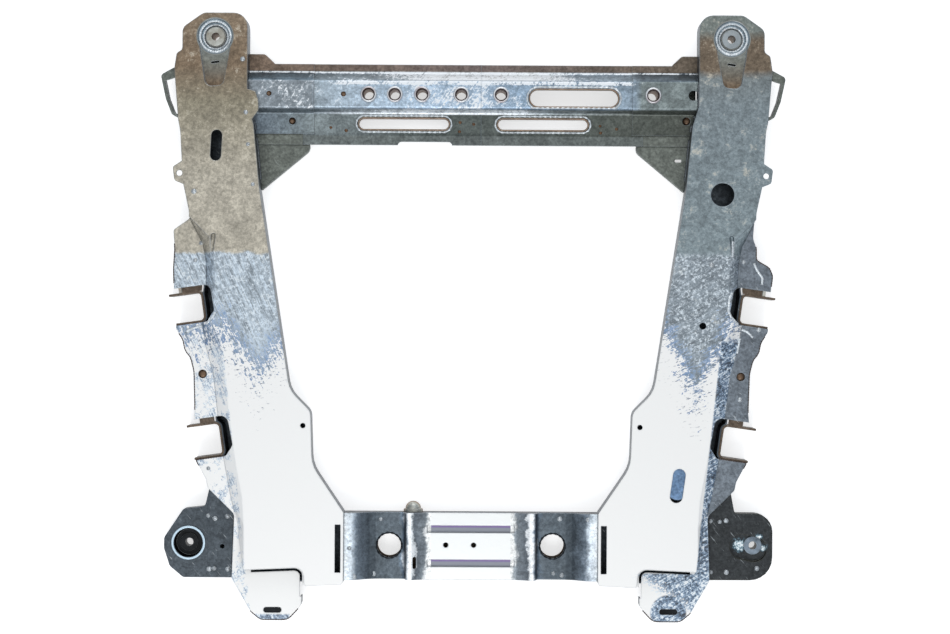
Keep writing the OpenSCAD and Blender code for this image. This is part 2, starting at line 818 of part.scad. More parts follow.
function outrigger(side) = concat(
    [[rail_outer_x - 20, rear_beam_front + 43, 0], [rail_outer_x - 20, rear_beam_back + 1, 0]],
    side == "left" ? [
        [rear_mount.x + 9, rear_beam_back + 1, 8],
        [rear_mount.x + left_reach - 10, rear_mount.y - 41, 10],
        [rear_mount.x + left_reach, rear_mount.y - 10, 14],
        [rear_mount.x + left_reach, rear_mount.y + 9, 14],
        [rear_mount.x + 9, rear_mount.y + 60, 8],
        [rear_mount.x - 29, rear_mount.y + 64, 8],
        [rear_mount.x - 37, rear_beam_front + 43, 0]
    ] : [
        [rear_mount.x + right_reach, rear_beam_back + 1, 40],
        [rear_mount.x + right_reach, rear_mount.y + 57, 38],
        [rear_mount.x - 33, rear_mount.y + 57, 6],
        [rear_mount.x - 41, rear_beam_front + 43, 0]
    ]
);

rear_cup_d = 52;
rear_cup_flange_d = 61;
rear_cup_z = outrigger_h - rear_cup_depth;
dish_z = outrigger_h - dish_depth;
dish_size = [mount_sleeve_d + 42, mount_sleeve_d + 20];
outrigger_skirt_z = 12;
outrigger_hole = rear_mount + [-60, -6];

// The oval dish around the right rear mount
module rear_dish(grow) {
    translate([rear_mount.x - 9, rear_mount.y - 4, 0]) rotate(-12)
        slot_prism(dish_size.x + 2 * grow, dish_size.y + 2 * grow, dish_z - grow, outrigger_h + 1);
}

// The room that the two shells of a rail take from an outrigger
module rail_room(side) {
    rail_block(weld_gap);
    intersection() {
        prism(rounded(inset(rail_foot(side, true), -weld_gap)), -1, rail_h);
        translate([0, tab_end, -1]) cube([rear_mount.x, rear_beam_front - 4 + weld_gap - tab_end, rail_h + 2]);
    }
}

module outrigger_upper(side) {
    path = outrigger(side);
    difference() {
        pressed() {
            prism(rounded(path), outrigger_skirt_z, outrigger_h);
            prism(rounded(inset(path, sheet_t)), outrigger_skirt_z - 1, outrigger_h - sheet_t);
            if (side == "right") rear_dish(0);
            if (side == "right") rear_dish(sheet_t);
        }
        rail_room(side);
        if (side == "left") drill(rear_mount, rear_cup_d + 2 * sheet_t + 2 * weld_gap);
        if (side == "left") drill(outrigger_hole, 8);
        if (side == "right") drill(rear_mount, mount_sleeve_d + 2 * weld_gap);
    }
}

module outrigger_lower(side) {
    path = outrigger(side);
    difference() {
        prism(rounded(inset(path, lap)), 0, outrigger_h - 2 * sheet_t);
        prism(rounded(inset(path, lap + sheet_t)), sheet_t, outrigger_h);
        rail_room(side);
        drill(rear_mount, mount_sleeve_d + 2 * weld_gap);
        if (side == "right") rear_dish(sheet_t + weld_gap);
    }
}

module outrigger_upper_left() { color(zinc_dark) on_side("left") outrigger_upper("left"); }
module outrigger_upper_right() { color(zinc_dark) outrigger_upper("right"); }
module outrigger_lower_left() { color(zinc_dark) on_side("left") outrigger_lower("left"); }
module outrigger_lower_right() { color(zinc_dark) outrigger_lower("right"); }

// The left outrigger carries a doubler plate beside the rail
module outrigger_neck_left() {
    color(zinc_dark) on_side("left") difference() {
        prism(rounded([
            [rail_outer_x - 20, rear_beam_front + 43, 0], [rail_outer_x - 20, rear_beam_back + 4, 0],
            [rear_mount.x - 34, rear_beam_back + 4, 4], [rear_mount.x - 34, rear_mount.y + 61, 4],
            [rear_mount.x - 39, rear_beam_front + 41, 0]
        ]), outrigger_h, outrigger_h + sheet_t);
        rail_room("left");
        drill(outrigger_hole, 8);
        drill(rear_mount, rear_cup_flange_d + 2 * weld_gap);
    }
}

// The left rear mount seat is a flanged cup let into the outrigger's top
module rear_mount_cup_left() {
    r = rear_cup_d / 2;
    rim = rear_cup_flange_d / 2;
    bore = mount_sleeve_d / 2 + weld_gap;
    color(zinc_dark) on_side("left") translate([rear_mount.x, rear_mount.y, 0]) rotate_extrude() polygon([
        [bore, rear_cup_z - sheet_t], [r + sheet_t, rear_cup_z - sheet_t], [r + sheet_t, outrigger_h],
        [rim, outrigger_h], [rim, outrigger_h + sheet_t - 1], [rim - 1, outrigger_h + sheet_t],
        [r, outrigger_h + sheet_t], [r - 3, rear_cup_z], [bore, rear_cup_z]
    ]);
}

rear_head_h = 3;

module rear_mount_sleeve(seat_z) {
    translate([rear_mount.x, rear_mount.y, 0]) difference() {
        union() {
            cylinder(d = mount_sleeve_d, h = seat_z + 1);
            translate([0, 0, seat_z]) cylinder(d = mount_sleeve_d + 8, h = rear_head_h);
        }
        translate([0, 0, -1]) cylinder(d = mount_bore_d, h = rail_h);
    }
}

module rear_mount_sleeve_left() { color(steel_grey) on_side("left") rear_mount_sleeve(rear_cup_z); }
module rear_mount_sleeve_right() { color(steel_grey) rear_mount_sleeve(dish_z); }

// Rear crossmember, drawn as a sheet line in X and Z that runs along Y

ridge_x = 109;
panel_x = 79;
web_z = 14;

function rear_half() = [
    [panel_x, panel_h, 8],
    [ridge_x - 5, ridge_h, 4],
    [ridge_x + 4, ridge_h, 4],
    [ridge_x + 9, dip_h, 6],
    [174, dip_h, 50],
    [rail_rear_x - 18, rail_h - 8, 30],
    [rail_rear_x, rail_h - 8, 0]
];

function rear_line() = bent(concat(
    [for (i = [len(rear_half()) - 1:-1:0]) let (p = rear_half()[i]) [-p.x, p.y, p[2]]],
    rear_half()
));

// Everything from z0 up to the sheet line lowered by drop, between y0 and y1
module under_rear_line(z0, drop, y0, y1) {
    line = beside(rear_line(), -drop);
    end = rail_rear_x;
    points = concat([[-end, z0]], line, [[end, z0]]);
    translate([0, y1, 0]) rotate([90, 0, 0]) linear_extrude(y1 - y0) polygon(points);
}

groove_w = 13;
groove_depth = 5;
groove_pitch = 60;

module rear_grooves(grow) {
    for (s = [-1, 1])
        translate([-panel_x + 2 - grow, rear_beam_y + s * groove_pitch / 2 - groove_w / 2 - grow,
                   panel_h - groove_depth - grow])
            cube([2 * panel_x - 4 + 2 * grow, groove_w + 2 * grow, far]);
}

module rear_crossmember_upper() {
    color(zinc_pale) difference() {
        pressed() {
            under_rear_line(web_z, 0, rear_beam_back, rear_beam_front);
            under_rear_line(web_z - 1, sheet_t, rear_beam_back + sheet_t, rear_beam_front - sheet_t);
            rear_grooves(0);
            rear_grooves(sheet_t);
        }
        for (s = [-1, 1]) drill([s * 144, rear_beam_y], access_d);
        for (x = [-44, 5]) drill([x, rear_beam_y + 2], 9);
        translate([-99, rear_beam_y - 29, 0]) rotate(90) slot_prism(21, 6, 0, far);
    }
}

module rear_crossmember_lower() {
    wall = rear_beam_w - 2 * lap;
    tray_h = 28;
    color(zinc_dark) difference() {
        translate([-rail_rear_x, rear_beam_y - wall / 2, 0]) cube([2 * rail_rear_x, wall, tray_h]);
        translate([-rail_rear_x - 1, rear_beam_y - wall / 2 + sheet_t, sheet_t])
            cube([2 * rail_rear_x + 2, wall - 2 * sheet_t, tray_h]);
        for (s = [-1, 1]) drill([s * 144, rear_beam_y], access_d);
        rail_block(weld_gap);
        mirror([1, 0, 0]) rail_block(weld_gap);
    }
}

// A domed cap nut welded to the front web of the rear crossmember
module rear_crossmember_nut() {
    color(steel_grey) translate([-102, rear_beam_front, 26]) rotate([-90, 0, 0]) rotate_extrude() polygon(concat(
        [[0, 0], [17, 0], [17, 5]],
        [for (a = [0:15:90]) [14 * cos(a), 5 + 14 * sin(a)]]
    ));
}

rail_upper_left();
rail_upper_right();
rail_lower_left();
rail_lower_right();
rail_shoulder_left();
rail_shoulder_right();
front_crossmember_upper_left();
front_crossmember_upper_right();
front_crossmember_lower_left();
front_crossmember_lower_right();
crossmember_end_left();
crossmember_end_right();
spacer_tubes();
corner_gusset_left();
corner_gusset_right();
front_mount_sleeve_left();
front_mount_sleeve_right();
tie_down_hook_left();
tie_down_hook_right();
arm_bracket_front_left();
arm_bracket_front_right();
arm_bracket_rear_left();
arm_bracket_rear_right();
arm_weld_nuts();
outrigger_upper_left();
outrigger_upper_right();
outrigger_lower_left();
outrigger_lower_right();
outrigger_neck_left();
rear_mount_cup_left();
rear_mount_sleeve_left();
rear_mount_sleeve_right();
rear_crossmember_upper();
rear_crossmember_lower();
rear_crossmember_nut();
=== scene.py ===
# %% [markdown]
# # An engine subframe of galvanised sheet steel
#
# The subframe is welded from pressed sheets: two side rails, two crossmembers, two outriggers for the rear
# mounts, and small brackets. The solids arrive from CAD in metres, with +Z up and +Y to the front of the car.
# They stay where they are. This script gives them their zinc skins, adds the welds that hold the sheets
# together, and sets up the overhead picture.

# %% Load the solids
import math
from types import SimpleNamespace

import bmesh
import bpy
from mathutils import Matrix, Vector
from mathutils.bvhtree import BVHTree


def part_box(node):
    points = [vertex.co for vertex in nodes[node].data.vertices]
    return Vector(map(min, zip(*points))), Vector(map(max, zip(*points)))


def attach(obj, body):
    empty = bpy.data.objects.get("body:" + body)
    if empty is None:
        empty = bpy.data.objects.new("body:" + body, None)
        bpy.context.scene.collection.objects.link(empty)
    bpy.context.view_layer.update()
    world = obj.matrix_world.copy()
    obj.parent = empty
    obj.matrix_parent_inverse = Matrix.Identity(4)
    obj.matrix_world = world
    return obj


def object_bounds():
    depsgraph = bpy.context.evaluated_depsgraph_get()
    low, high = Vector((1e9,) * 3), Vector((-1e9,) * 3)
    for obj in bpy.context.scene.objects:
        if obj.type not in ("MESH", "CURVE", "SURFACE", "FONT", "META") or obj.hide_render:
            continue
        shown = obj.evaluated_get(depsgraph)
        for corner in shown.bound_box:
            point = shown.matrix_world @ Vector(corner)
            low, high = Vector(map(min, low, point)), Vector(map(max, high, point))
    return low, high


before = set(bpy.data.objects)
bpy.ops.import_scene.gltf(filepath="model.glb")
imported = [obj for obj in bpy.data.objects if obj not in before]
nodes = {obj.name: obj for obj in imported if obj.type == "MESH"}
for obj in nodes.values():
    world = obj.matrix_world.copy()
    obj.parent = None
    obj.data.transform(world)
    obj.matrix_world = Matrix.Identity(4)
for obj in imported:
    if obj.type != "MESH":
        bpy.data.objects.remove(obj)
cad_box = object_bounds()
MM = 0.001


def rounded(values, digits=3):
    """Numbers short enough to print."""
    return [round(v, digits) for v in values]


print(len(nodes), "solids, box from", rounded(cad_box[0]), "to", rounded(cad_box[1]))

# %% [markdown]
# ## The view
#
# The picture is taken from straight above, from far enough away that the sides lean outwards only a little.
# A camera 4 m over the top plates, with a long lens, sees the same thin strips of the inner walls. Its turn
# of a third of a degree follows the picture, which isn't quite level.

# %% Camera
camera_height = 4.0
view_width = 1.6625
view_middle = (5.25 * MM, 1.75 * MM)
view_turn = math.radians(0.33)
sensor = 36.0
camera_data = bpy.data.cameras.new("overhead")
camera_data.sensor_width = sensor
camera_data.lens = sensor * camera_height / view_width
camera = bpy.data.objects.new("overhead", camera_data)
camera.location = (*view_middle, cad_box[1].z + camera_height)
camera.rotation_euler = (0, 0, view_turn)
bpy.context.scene.collection.objects.link(camera)
bpy.context.scene.camera = camera
bpy.context.scene.view_settings.view_transform = "Standard"
print("camera at", rounded(camera.location), "lens", round(camera_data.lens, 1), "mm")

# %% [markdown]
# ## Two small tools for node trees
#
# Colours are written as the hex values that one reads off a picture. A shader works with linear light, so one
# function turns them. Another adds a node with its settings and its links, which keeps each material readable
# as a list of what happens to the colour.


# %% Colour and node helpers
def linear(hex_colour):
    """Linear RGBA of an sRGB hex colour."""
    parts = [int(hex_colour[i:i + 2], 16) / 255 for i in (1, 3, 5)]
    return [p / 12.92 if p <= 0.04045 else ((p + 0.055) / 1.055) ** 2.4 for p in parts] + [1.0]


def put(tree, kind, inputs=None, stops=None, **settings):
    """Add a node. Inputs go by name or number, as values, sockets, or nodes for their first output.

    Stops are the places and colours of a ramp.
    """
    node = tree.nodes.new(kind)
    for name, value in settings.items():
        setattr(node, name, value)
    for name, value in (inputs or {}).items():
        if isinstance(value, bpy.types.Node):
            value = value.outputs[0]
        if isinstance(value, bpy.types.NodeSocket):
            tree.links.new(value, node.inputs[name])
        else:
            node.inputs[name].default_value = value
    if stops:
        ramp = node.color_ramp.elements
        ramp[0].position, ramp[-1].position = stops[0][0], stops[-1][0]
        ramp[0].color, ramp[-1].color = linear(stops[0][1]), linear(stops[-1][1])
        for place, colour in stops[1:-1]:
            ramp.new(place).color = linear(colour)
    return node


def blank_material(name):
    """A material with an empty tree, and its output node."""
    material = bpy.data.materials.new(name)
    material.use_nodes = True
    material.node_tree.nodes.clear()
    return material, material.node_tree, put(material.node_tree, "ShaderNodeOutputMaterial")


print("a mid grey is", rounded(linear("#808080")))

# %% [markdown]
# ## Floor
#
# A pale studio floor carries the part and keeps its shadow. For the camera, and for what the metal mirrors,
# it also glows a little, so that the background is white without more light on the part.

# %% Studio floor
floor_half = 30.0
floor_z = -0.5 * MM
glow = 0.62
corners = ((-1, -1), (1, -1), (1, 1), (-1, 1))
floor_mesh = bpy.data.meshes.new("studio_floor")
floor_mesh.from_pydata([(x * floor_half, y * floor_half, floor_z) for x, y in corners], [], [(0, 1, 2, 3)])
floor = bpy.data.objects.new("studio_floor", floor_mesh)
bpy.context.scene.collection.objects.link(floor)

floor_white, tree, output = blank_material("white_studio_floor")
rays = put(tree, "ShaderNodeLightPath")
seen = put(tree, "ShaderNodeMath", {0: rays.outputs["Is Camera Ray"], 1: rays.outputs["Is Glossy Ray"]},
           operation="MAXIMUM")
seen_through = put(tree, "ShaderNodeMath", {0: seen, 1: rays.outputs["Is Transmission Ray"]},
                   operation="MAXIMUM")
floor_glow = put(tree, "ShaderNodeMath", {0: seen_through, 1: glow}, operation="MULTIPLY")
floor_paint = put(tree, "ShaderNodeBsdfPrincipled", {
    "Base Color": linear("#ededed"), "Roughness": 0.9, "Specular IOR Level": 0.0,
    "Emission Color": (1, 1, 1, 1), "Emission Strength": floor_glow})
tree.links.new(floor_paint.outputs[0], output.inputs[0])
floor_mesh.materials.append(floor_white)
print("floor", 2 * floor_half, "m wide, half a millimetre under the part")

# %% [markdown]
# ## Light
#
# The sky is brightest overhead and falls off towards the horizon: flat plates mirror the bright part and
# slopes the dimmer part, and that is what makes pressed metal readable. One large soft lamp behind the part
# gives the edges their glints, and a weaker one in front lights the front slope of the crossmember.

# %% Sky and lamps
world = bpy.data.worlds.new("studio_sky")
bpy.context.scene.world = world
world.use_nodes = True
sky_tree = world.node_tree
sky_tree.nodes.clear()
sky_way = put(sky_tree, "ShaderNodeTexCoord")
sky_height = put(sky_tree, "ShaderNodeSeparateXYZ", {0: sky_way.outputs["Generated"]})
sky_ramp = put(sky_tree, "ShaderNodeValToRGB", {0: sky_height.outputs["Z"]}, stops=[
    (0.0, "#b4b9c0"), (0.35, "#9fa6b0"), (0.72, "#bfc5cc"), (0.93, "#f2f4f6"), (1.0, "#f7f8f9")])
sky = put(sky_tree, "ShaderNodeBackground", {"Color": sky_ramp, "Strength": 1.0})
put(sky_tree, "ShaderNodeOutputWorld", {"Surface": sky})

lamp_width, lamp_depth = 1.8, 0.9
lamps = {"rear_softbox": ((-0.15, -1.7, 2.2), 21.0), "front_softbox": ((0.1, 2.3, 1.1), 12.0)}
for name, (place, watts) in lamps.items():
    lamp_data = bpy.data.lights.new(name, "AREA")
    lamp_data.shape = "RECTANGLE"
    lamp_data.size = lamp_width
    lamp_data.size_y = lamp_depth
    lamp_data.energy = watts
    lamp = bpy.data.objects.new(name, lamp_data)
    lamp.location = place
    lamp.rotation_euler = (-lamp.location).to_track_quat("-Z", "Y").to_euler()
    lamp.visible_camera = False
    bpy.context.scene.collection.objects.link(lamp)
print("sky and", len(lamps), "lamps")

# %% [markdown]
# ## What every zinc skin starts from
#
# Zinc freezes on steel in flat crystals, the spangle, each of which mirrors a little differently. Handling
# adds fine grit and scratches. All skins here start from the same patterns, each with a real size in
# millimetres on Object coordinates. Added up with different shares, the patterns also make the ragged edges
# of films, painted glints and streaks.


# %% Shared patterns
def leaning_noise(tree, where, lean, size, inputs):
    """Noise stretched to a size in mm, and turned by degrees."""
    way = put(tree, "ShaderNodeMapping", {
        "Vector": where, "Rotation": (0, 0, math.radians(lean)), "Scale": [v * MM for v in size]},
        vector_type="TEXTURE")
    return put(tree, "ShaderNodeTexNoise", {"Vector": way, "Scale": 1.0, **inputs})


scratch_size = (2.4, 30, 30)
cloud_size = 30 * MM
grit_size = 5 * MM


def zinc_patterns(tree, lean, crystal_mm):
    """The place, how far a face looks up, and the shared patterns. Scratches lean by degrees from Y."""
    coords = put(tree, "ShaderNodeTexCoord")
    where = coords.outputs["Object"]
    place = put(tree, "ShaderNodeSeparateXYZ", {0: where})
    facing = put(tree, "ShaderNodeSeparateXYZ", {0: coords.outputs["Normal"]})
    crystals = put(tree, "ShaderNodeTexVoronoi", {"Vector": where, "Scale": 1 / (crystal_mm * MM)})
    return SimpleNamespace(
        where=where, x=place.outputs["X"], y=place.outputs["Y"], z=place.outputs["Z"],
        up=facing.outputs["Z"],
        clouds=put(tree, "ShaderNodeTexNoise", {
            "Vector": where, "Scale": 1 / cloud_size, "Detail": 6.0, "Roughness": 0.7}),
        grit=put(tree, "ShaderNodeTexNoise", {
            "Vector": where, "Scale": 1 / grit_size, "Detail": 4.0, "Roughness": 0.75}),
        scratch=leaning_noise(tree, where, lean, scratch_size, {"Detail": 3.0, "Roughness": 0.6}),
        crystal=put(tree, "ShaderNodeSeparateColor", {0: crystals.outputs["Color"]}))


def summed(tree, parts, start=0.0):
    """The sum of patterns, each times its share."""
    total = start
    for pattern, share in parts:
        total = put(tree, "ShaderNodeMath", {0: pattern, 1: share, 2: total}, operation="MULTIPLY_ADD")
    return total


print("scratches are", scratch_size[0], "mm wide, coarser than real ones, so that they show")

# %% [markdown]
# The colours of the sheets lie in strips, so one helper reads a colour off a list of places, and another
# makes it lighter and darker with the patterns. Two more let the edge of a strip wander and paint shade on
# steep walls as a plain dark tone.


# %% Strips, mottling and walls
strip_blur = 0.8


def striped(tree, across, along, strips):
    """Colour from strips: each is where it starts across, in mm, and its (place along in mm, colour) list."""
    colour = None
    for start, tones in strips:
        low, high = tones[0][0], tones[-1][0]
        share = put(tree, "ShaderNodeMapRange", {"Value": along, "From Min": low * MM, "From Max": high * MM})
        tone = put(tree, "ShaderNodeValToRGB", {0: share}, stops=[
            ((place - low) / (high - low), hue) for place, hue in tones])
        if colour is None:
            colour = tone
            continue
        edge = put(tree, "ShaderNodeMapRange", {
            "Value": across, "From Min": (start - strip_blur) * MM, "From Max": (start + strip_blur) * MM})
        colour = put(tree, "ShaderNodeMix", {0: edge, 6: colour, 7: tone}, data_type="RGBA").outputs[2]
    return colour


def mottled(tree, p, colour, depth):
    """The colour, lighter and darker with the crystals, the grit and the clouds, by a share of itself."""
    patterns = ((p.crystal, 0.0, 1.0, 0.6 * depth), (p.grit, 0.38, 0.62, depth),
                (p.clouds, 0.36, 0.64, 0.7 * depth))
    for pattern, low, high, share in patterns:
        scale = put(tree, "ShaderNodeMapRange", {
            "Value": pattern, "From Min": low, "From Max": high, "To Min": 1 - share, "To Max": 1 + share})
        colour = put(tree, "ShaderNodeVectorMath", {0: colour, "Scale": scale}, operation="SCALE")
    return colour


def wandering(tree, p, along, reach):
    """A place along the part that wanders with the clouds by some mm."""
    wander = put(tree, "ShaderNodeMapRange", {
        "Value": p.clouds, "From Min": 0.3, "From Max": 0.7, "To Min": -reach * MM, "To Max": reach * MM})
    return put(tree, "ShaderNodeMath", {0: along, 1: wander}, operation="ADD")


def with_painted_wall_shade(tree, p, colour, tone, start, full):
    """The colour with painted shade on walls: a plain tone from start to full, by how far a face looks up."""
    wall = put(tree, "ShaderNodeMapRange", {"Value": p.up, "From Min": start, "From Max": full})
    plain = mottled(tree, p, linear(tone)[:3], 0.28)
    return put(tree, "ShaderNodeMix", {0: wall, 6: colour, 7: plain}, data_type="RGBA").outputs[2]


print("strips blend over", 2 * strip_blur, "mm")

# %% [markdown]
# A last helper makes the shader: a bevel node rounds the light at the pressed edges, which are sharp in the
# solids, and the angle between the two normals says where a painted highlight lies along an edge.


# %% The shader of zinc
roughest, smoothest = 0.5, 0.34


def zinc_shader(tree, output, p, colour, metal, edge_mm, edge_highlight):
    """Zinc with rounded light at its edges, and a painted highlight along them towards a colour."""
    edge = put(tree, "ShaderNodeBevel", {"Radius": edge_mm * MM}, samples=4)
    flat = put(tree, "ShaderNodeNewGeometry")
    meet = put(tree, "ShaderNodeVectorMath", {0: edge, 1: flat.outputs["Normal"]},
               operation="DOT_PRODUCT")
    # Painted highlight: near an edge the colour goes part way towards a bright tone.
    edge_highlight_share = put(tree, "ShaderNodeMapRange", {
        "Value": meet.outputs["Value"], "From Min": 0.99, "From Max": 0.8, "To Min": 0.0, "To Max": 0.5})
    edge_lit = put(tree, "ShaderNodeMix", {0: edge_highlight_share, 6: colour, 7: linear(edge_highlight)}, data_type="RGBA")
    rough = put(tree, "ShaderNodeMapRange", {
        "Value": p.grit, "From Min": 0.3, "From Max": 0.7, "To Min": roughest, "To Max": smoothest})
    relief = put(tree, "ShaderNodeBump", {
        "Strength": 0.25, "Distance": 0.8 * MM, "Height": summed(tree, ((p.grit, 1.0), (p.clouds, 1.0))),
        "Normal": edge})
    shader = put(tree, "ShaderNodeBsdfPrincipled", {
        "Base Color": edge_lit.outputs[2], "Metallic": metal, "Roughness": rough, "Normal": relief})
    tree.links.new(shader.outputs[0], output.inputs[0])


print("roughness of zinc from", smoothest, "to", roughest)

# %% [markdown]
# ## Hot-dip galvanised sheet, pressed: the rails
#
# On the rails the colour changes along the part: a tan front, a scoured silver in the middle, and a nearly
# white, bright rear. The tan front is partly a film and partly painted dark reflection, and the white rear is
# painted glare. The zones could be painted on a map, but they follow the length of the rail, so a ramp along
# Y is enough. The skin is built in layers, and each layer is a function that takes a colour and gives the
# next one. The first two layers are the tan front and the scour marks.


# %% Film and scour marks
silver_from, silver_full = 116, 108


def front_film_and_reflection(tree, p, zones, along):
    """The zones along Y, mottled and partly painted dark reflection, with pale patches where films are thin.
    """
    zone = mottled(tree, p, striped(tree, p.x, along, [(0, zones)]), 0.22)
    bare = put(tree, "ShaderNodeMapRange", {
        "Value": summed(tree, ((p.clouds, 1.0), (p.grit, 0.7))), "From Min": 0.94, "From Max": 1.08,
        "To Min": 0.0, "To Max": 0.6})
    return put(tree, "ShaderNodeMix", {0: bare, 6: zone, 7: linear("#d6d0c0")},
               data_type="RGBA").outputs[2]


def scoured_middle(tree, p, zone, along, scour):
    """The colour with scour marks and pale specks of spangle, behind the film."""
    marks = put(tree, "ShaderNodeMapRange", {
        "Value": p.scratch, "From Min": 0.36, "From Max": 0.64,
        "To Min": 1 - 0.32 * scour, "To Max": 1 + 0.36 * scour})
    marked = put(tree, "ShaderNodeVectorMath", {0: zone, "Scale": marks}, operation="SCALE")
    specks = put(tree, "ShaderNodeMapRange", {
        "Value": p.grit, "From Min": 0.52, "From Max": 0.62, "To Min": 0.0, "To Max": 0.85})
    specked = put(tree, "ShaderNodeMix", {0: specks, 6: marked, 7: linear("#e3edf4")}, data_type="RGBA")
    silver = put(tree, "ShaderNodeMapRange", {
        "Value": along, "From Min": silver_from * MM, "From Max": silver_full * MM})
    return put(tree, "ShaderNodeMix", {0: silver, 6: zone, 7: specked.outputs[2]},
               data_type="RGBA").outputs[2]


print("the silver starts", silver_from, "mm ahead of the middle")

# %% [markdown]
# The white rear, a painted glare, starts along a line that is lowest at one place and rises to both sides.
# Scratches, clouds and grit make that line ragged, so it breaks up into flecks. Painted blue shadows lie
# along its front, and a few dark flecks and blue worms lie behind it, fewer the further back.


# %% White rear
shade_from, shade_full = -34, -8
fleck_end = 90


def painted_glare_depth(tree, p, front):
    """How far a point lies behind the ragged front of the painted glare: its lowest place, rise and cap."""
    peak_x, peak_y, rise, cap = front
    off = put(tree, "ShaderNodeMath", {0: p.x, 1: peak_x * MM}, operation="SUBTRACT")
    beside = put(tree, "ShaderNodeMath", {0: off}, operation="ABSOLUTE")
    line = put(tree, "ShaderNodeMath", {0: beside, 1: rise, 2: peak_y * MM}, operation="MULTIPLY_ADD")
    capped = put(tree, "ShaderNodeMath", {0: line, 1: cap * MM}, operation="MINIMUM")
    behind = put(tree, "ShaderNodeMath", {0: capped, 1: p.y}, operation="SUBTRACT")
    shares = ((p.scratch, 130 * MM), (p.clouds, 130 * MM), (p.grit, 200 * MM))
    ragged = summed(tree, shares, behind)
    return put(tree, "ShaderNodeMath", {0: ragged, 1: 228 * MM}, operation="SUBTRACT")


def with_painted_glare(tree, p, skin, behind, white):
    """The skin with the painted glare of the rear laid over it, and painted blue shadows along its front."""
    shade = put(tree, "ShaderNodeMapRange", {
        "Value": behind, "From Min": shade_from * MM, "From Max": shade_full * MM})
    broken = put(tree, "ShaderNodeMapRange", {
        "Value": p.scratch, "From Min": 0.4, "From Max": 0.56, "To Min": 0.25, "To Max": 1.0})
    blue = put(tree, "ShaderNodeMath", {0: shade, 1: broken}, operation="MULTIPLY")
    # Painted shadow in blue along the front of the glare.
    shadowed = put(tree, "ShaderNodeMix", {0: blue, 6: skin, 7: linear("#84a0c4")}, data_type="RGBA")
    # Painted glare: near-white over the rear.
    return put(tree, "ShaderNodeMix", {0: white, 6: shadowed.outputs[2], 7: linear("#faf9f6")},
               data_type="RGBA").outputs[2]


def flecked(tree, p, pale, behind, white, lean):
    """The white rear with short dark flecks, and longer blue worms that lean as the scratches do."""
    fleck = leaning_noise(tree, p.where, 8, (9, 3, 9), {"Detail": 1.0})
    dark = put(tree, "ShaderNodeMapRange", {"Value": fleck, "From Min": 0.64, "From Max": 0.68})
    near = put(tree, "ShaderNodeMapRange", {
        "Value": behind, "From Min": fleck_end * MM, "From Max": 30 * MM})
    few = put(tree, "ShaderNodeMath", {0: dark, 1: near}, operation="MULTIPLY")
    worm = leaning_noise(tree, p.where, lean, (5, 14, 14), {"Detail": 2.0, "Distortion": 0.8})
    ask = put(tree, "ShaderNodeMapRange", {
        "Value": behind, "From Min": 0.0, "From Max": fleck_end * MM, "To Min": 0.5, "To Max": 0.86})
    spare = put(tree, "ShaderNodeMath", {0: worm, 1: ask}, operation="SUBTRACT")
    worms = put(tree, "ShaderNodeMapRange", {"Value": spare, "From Min": 0.0, "From Max": 0.05})
    for marks, tone in ((few, "#5b6a80"), (worms, "#7590b6")):
        share = put(tree, "ShaderNodeMath", {0: marks, 1: white}, operation="MULTIPLY")
        pale = put(tree, "ShaderNodeMix", {0: share, 6: pale, 7: linear(tone)},
                   data_type="RGBA").outputs[2]
    return pale


print("blue shadows start", -shade_from, "mm ahead of the white, and flecks end", fleck_end, "mm behind")

# %% [markdown]
# Behind the first notch the outer edge of a rail is blue-grey and streaked, in patches on the left rail and
# all along the right one. The rear tab is streaked too: on one side of a slanting line, and on a round dome
# about its slot. Streaks are scratches, clouds and grit together, read off a ramp from dark blue to white.
# They are partly the crumpled zinc's own marks and partly painted reflection on it.


# %% Streaked edge and tab
edge_from, edge_full = -30, -42
edge_lean, edge_at = 0.104, 440
tab_x, tab_slot_y = 348, -517
tab_slant, slant_at = 0.694, -213


def from_axis(tree, p, x_mm, y_mm):
    """The distance from an upright axis."""
    level = put(tree, "ShaderNodeCombineXYZ", {0: p.x, 1: p.y})
    return put(tree, "ShaderNodeVectorMath", {0: level, 1: (x_mm * MM, y_mm * MM, 0)},
               operation="DISTANCE").outputs["Value"]


def edge_share(tree, p, side, patch_from):
    """Where the outer edge of a rail is streaked. Its line leans with the rail."""
    aside = put(tree, "ShaderNodeVectorMath", {0: p.where, 1: (side, -edge_lean, 0)}, operation="DOT_PRODUCT")
    outer = put(tree, "ShaderNodeMapRange", {
        "Value": aside.outputs["Value"], "From Min": edge_at * MM, "From Max": (edge_at + 2) * MM})
    rearward = put(tree, "ShaderNodeMapRange", {
        "Value": p.y, "From Min": edge_from * MM, "From Max": edge_full * MM})
    edge = put(tree, "ShaderNodeMath", {0: outer, 1: rearward}, operation="MULTIPLY")
    patches = put(tree, "ShaderNodeMapRange", {
        "Value": summed(tree, ((p.clouds, 1.0), (p.grit, 0.5))), "From Min": patch_from,
        "From Max": patch_from + 0.03})
    return put(tree, "ShaderNodeMath", {0: edge, 1: patches}, operation="MULTIPLY")


def tab_share(tree, p, side, streaks, tab_y):
    """Where the rear tab is streaked, behind a line across it."""
    dome = put(tree, "ShaderNodeMapRange", {
        "Value": from_axis(tree, p, side * tab_x, tab_slot_y), "From Min": 33 * MM, "From Max": 30 * MM})
    slant = put(tree, "ShaderNodeVectorMath", {0: p.where, 1: (tab_slant * side, 1.0, 0)},
                operation="DOT_PRODUCT")
    ragged = put(tree, "ShaderNodeMath", {0: streaks, 1: 70 * MM, 2: slant.outputs["Value"]},
                 operation="MULTIPLY_ADD")
    far_side = put(tree, "ShaderNodeMapRange", {
        "Value": ragged, "From Min": slant_at * MM, "From Max": (slant_at + 6) * MM})
    part = put(tree, "ShaderNodeMath", {0: dome, 1: far_side}, operation="MAXIMUM")
    tab = put(tree, "ShaderNodeMapRange", {
        "Value": p.y, "From Min": tab_y * MM, "From Max": (tab_y - 3) * MM})
    return put(tree, "ShaderNodeMath", {0: tab, 1: part}, operation="MULTIPLY")


